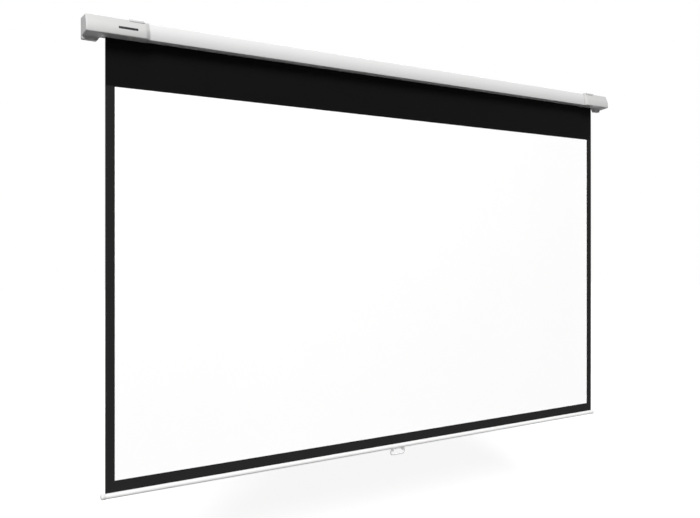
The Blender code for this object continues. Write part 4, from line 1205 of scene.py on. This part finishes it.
def make_bracket():
    """The saddle under the bar, with two lugs for the handle's ends."""
    start = 270.0 - BRACKET_HALF_ANGLE
    sweep = 2 * BRACKET_HALF_ANGLE
    middle = (SHEET_Y, BAR_Z)
    inner = arc_points(middle, BAR_RADIUS + GAP, ARC_STEPS, start, sweep)
    outer = arc_points(middle, BRACKET_OUTER, ARC_STEPS, start + sweep, -sweep)
    saddle = prism("bracket", inner + outer, -BRACKET_HALF_LENGTH, BRACKET_HALF_LENGTH)
    broken_edges(saddle, BRACKET_EDGE, segments=3)
    half = LUG_WIDTH / 2
    foot = arc_points((SHEET_Y, PIVOT_Z), LUG_RADIUS, ROUND_SIDES // 2, 180.0, 180.0)
    top = BAR_Z - BRACKET_OUTER + BRACKET_THICKNESS / 2
    outline = [*foot, (SHEET_Y + LUG_RADIUS, top), (SHEET_Y - LUG_RADIUS, top)]
    for x in (-LUG_X, LUG_X):
        fuse(saddle, broken_edges(prism("lug", outline, x - half, x + half), LUG_EDGE, segments=3))
    across = 4 * BRACKET_HALF_LENGTH
    clear = peg("bar_clearance", BAR_RADIUS + GAP, (0.0, *middle), across, "X", 2 * ROUND_SIDES)
    pivot = peg("wire_hole", WIRE_RADIUS + GAP, (0.0, SHEET_Y, PIVOT_Z), across, "X", HOLE_SIDES)
    cut(saddle, clear, pivot)
    seat = BAR_Z - BRACKET_OUTER
    cut(saddle, *(screw_hole((x, SHEET_Y, seat), BRACKET_THICKNESS) for x in BRACKET_SCREWS_X))
    fitted(settled(saddle), "bar", "handle_plastic", HANDLE_PLASTIC, "handle_bracket", sharp=40.0)


def make_handle():
    """The loop of round section that swings in the bracket's lugs."""
    right = [
        (LUG_X - LUG_WIDTH / 2, 0.0),
        (HANDLE_HALF, 0.0),
        (HANDLE_HALF - HANDLE_FOOT_INSET, -HANDLE_DROP + HANDLE_FOOT_RISE),
    ]
    corners = [*right, (0.0, -HANDLE_DROP), *[(-x, z) for x, z in reversed(right)]]
    shoulder, foot = HANDLE_SHOULDER_RADIUS, HANDLE_CORNER_RADIUS
    path = rounded(corners, {1: shoulder, 2: foot, 3: HANDLE_BOW_RADIUS, 4: foot, 5: shoulder}, closed=False)
    line = bpy.data.curves.new("handle_line", "CURVE")
    line.dimensions = "3D"
    line.bevel_depth = WIRE_RADIUS
    line.bevel_resolution = 5
    line.use_fill_caps = True
    line.resolution_u = 1
    line.render_resolution_u = 0
    spline = line.splines.new("POLY")
    spline.points.add(len(path) - 1)
    for point, (x, z) in zip(spline.points, path):
        point.co = (x, SHEET_Y, PIVOT_Z + z, 1.0)
    curve = link("handle_line", line)
    handle = link("handle_loop", evaluated_mesh(curve))
    bpy.data.objects.remove(curve)
    fitted(settled(handle), "handle", "handle_plastic", HANDLE_PLASTIC, "pull_handle", sharp=50.0)


# Inner pieces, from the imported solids

def refined(node, body, slot, finish, edge=INNER_EDGE):
    """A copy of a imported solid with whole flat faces, broken edges and smooth rounds."""
    shape = bmesh.new()
    shape.from_mesh(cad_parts[node].data)
    bmesh.ops.remove_doubles(shape, verts=shape.verts, dist=MERGE)
    bmesh.ops.dissolve_limit(shape, angle_limit=FLAT, verts=shape.verts, edges=shape.edges)
    obj = as_object(f"{node}_finished", shape)
    if edge:
        broken_edges(obj, edge)
    fitted(settled(obj), body, slot, finish, node)


def make_inner_pieces():
    """Everything inside the case, the roller and the bar's hem."""
    for node in ("left_end_plate", "right_end_plate", "spring_rod", "ratchet_wheel", "idler_pin"):
        refined(node, "case", "zinc", ZINC_PLATE)
    for node in ("upper_pawl_pin", "lower_pawl_pin"):
        refined(node, "roller", "zinc", ZINC_PLATE, 0.0)
    for node in ("upper_pawl", "lower_pawl"):
        refined(node, node, "zinc", ZINC_PLATE)
    refined("rod_clip", "case", "spring_steel", SPRING_WIRE_STEEL)
    refined("spring_anchor", "case", "black_plastic", BLACK_MOULDING)
    for node in ("lock_cup", "spring_drive_plug", "idler_plug", "sheet_welt"):
        refined(node, "roller", "black_plastic", BLACK_MOULDING)
    refined("hem_rod", "bar", "black_plastic", BLACK_MOULDING)
    refined("idler_bush", "roller", "bush_plastic", NYLON)
    refined("roller_tube", "roller", "mill_aluminium", EXTRUDED_ALUMINIUM)


# Camera, floor, world and lamps

CAMERA_PLACE = (-1.7825, -2.442, -0.68365)
CAMERA_TURN = -32.71
CAMERA_LENS = 39.18
SENSOR_WIDTH = 36.0
HORIZON_SHIFT = -12.3 / 700

FLOOR_Z = -1.95
FLOOR_SPREAD = 40.0
FLOOR_SEEN = grey(176.0)
FLOOR_GLOW = 0.72
FLOOR_BOUNCE = grey(90.0)

WHITE = (1.0, 1.0, 1.0, 1.0)
WORLD_LIGHT = 0.12
KEY_HEIGHT = 35.0
KEY_LEFT = 29.5
KEY_STRENGTH = 3.62
KEY_SOFTNESS = 25.0
REAR_HEIGHT = 30.0
REAR_LEFT = -150.0
REAR_STRENGTH = 2.2
REAR_SOFTNESS = 40.0
OVER_PLACE = (-1.2, -1.5, 1.6)
OVER_TARGET = (-0.7, 0.0, 0.0)
OVER_SIZE = (1.0, 0.8)
OVER_WATTS = 15.0


def make_camera():
    """A level camera where the photograph was taken from."""
    data = bpy.data.cameras.new("camera")
    data.lens = CAMERA_LENS
    data.sensor_width = SENSOR_WIDTH
    data.shift_y = HORIZON_SHIFT
    camera = link("camera", data)
    camera.location = CAMERA_PLACE
    camera.rotation_euler = (QUARTER, 0.0, math.radians(CAMERA_TURN))
    bpy.context.scene.camera = camera


def seen_directly(wiring):
    """1 for what the camera sees straight on, in a mirror or through glass."""
    kinds = ("Is Camera Ray", "Is Glossy Ray", "Is Transmission Ray")
    camera, glossy, through = (wiring.node("ShaderNodeLightPath", output=kind) for kind in kinds)
    return (camera + glossy + through).clamped()


def make_floor():
    """A plain pale floor that shows white but keeps the object's shadow, and is clear from below."""
    floor = Finish("floor")
    pale = floor.node("ShaderNodeBsdfDiffuse", {"Color": FLOOR_SEEN})
    shown = floor.node("ShaderNodeEmission", {"Color": WHITE, "Strength": FLOOR_GLOW})
    lit = floor.node("ShaderNodeAddShader", {0: pale, 1: shown})
    dim = floor.node("ShaderNodeBsdfDiffuse", {"Color": FLOOR_BOUNCE})
    above = floor.node("ShaderNodeMixShader", {0: seen_directly(floor), 1: dim, 2: lit})
    behind = floor.node("ShaderNodeNewGeometry", output="Backfacing")
    clear = floor.node("ShaderNodeBsdfTransparent")
    floor.done(floor.node("ShaderNodeMixShader", {0: behind, 1: above, 2: clear}))
    half = FLOOR_SPREAD / 2
    corners = [(x * half, y * half, FLOOR_Z) for x, y in ((-1, -1), (1, -1), (1, 1), (-1, 1))]
    mesh = bpy.data.meshes.new("floor")
    mesh.from_pydata(corners, [], [(0, 1, 2, 3)])
    obj = link("floor", mesh)
    obj.data.materials.append(floor.material)


def make_world():
    """A world that is white to the eye and a soft grey light on the object."""
    world = bpy.data.worlds.new("studio")
    world.use_nodes = True
    bpy.context.scene.world = world
    wiring = Wiring(world.node_tree)
    wiring.tree.nodes.clear()
    white = wiring.node("ShaderNodeBackground", {"Color": WHITE, "Strength": 1.0})
    soft = wiring.node("ShaderNodeBackground", {"Color": WHITE, "Strength": WORLD_LIGHT})
    both = wiring.node("ShaderNodeMixShader", {0: seen_directly(wiring), 1: soft, 2: white})
    wiring.node("ShaderNodeOutputWorld", {"Surface": both})


def make_far_light(name, height, left, strength, softness):
    """A soft light far off, this many degrees above and to the left of straight in front."""
    data = bpy.data.lights.new(name, "SUN")
    data.energy = strength
    data.angle = math.radians(softness)
    link(name, data).rotation_euler = (math.radians(90.0 - height), 0.0, math.radians(-left))


def make_near_light():
    """A soft rectangular lamp over the left end."""
    data = bpy.data.lights.new("over", "AREA")
    data.shape = "RECTANGLE"
    data.size, data.size_y = OVER_SIZE
    data.energy = OVER_WATTS
    lamp = link("over", data)
    lamp.location = OVER_PLACE
    lamp.rotation_euler = (Vector(OVER_TARGET) - Vector(OVER_PLACE)).to_track_quat("-Z", "Y").to_euler()


make_case()
make_covers()
make_hangers()
make_screws()
make_spring()
make_roll()
make_sheet()
make_bar()
make_bracket()
make_handle()
make_inner_pieces()
make_camera()
make_floor()
make_world()
make_far_light("key", KEY_HEIGHT, KEY_LEFT, KEY_STRENGTH, KEY_SOFTNESS)
make_far_light("rear", REAR_HEIGHT, REAR_LEFT, REAR_STRENGTH, REAR_SOFTNESS)
make_near_light()
bpy.context.scene.view_settings.view_transform = "Standard"
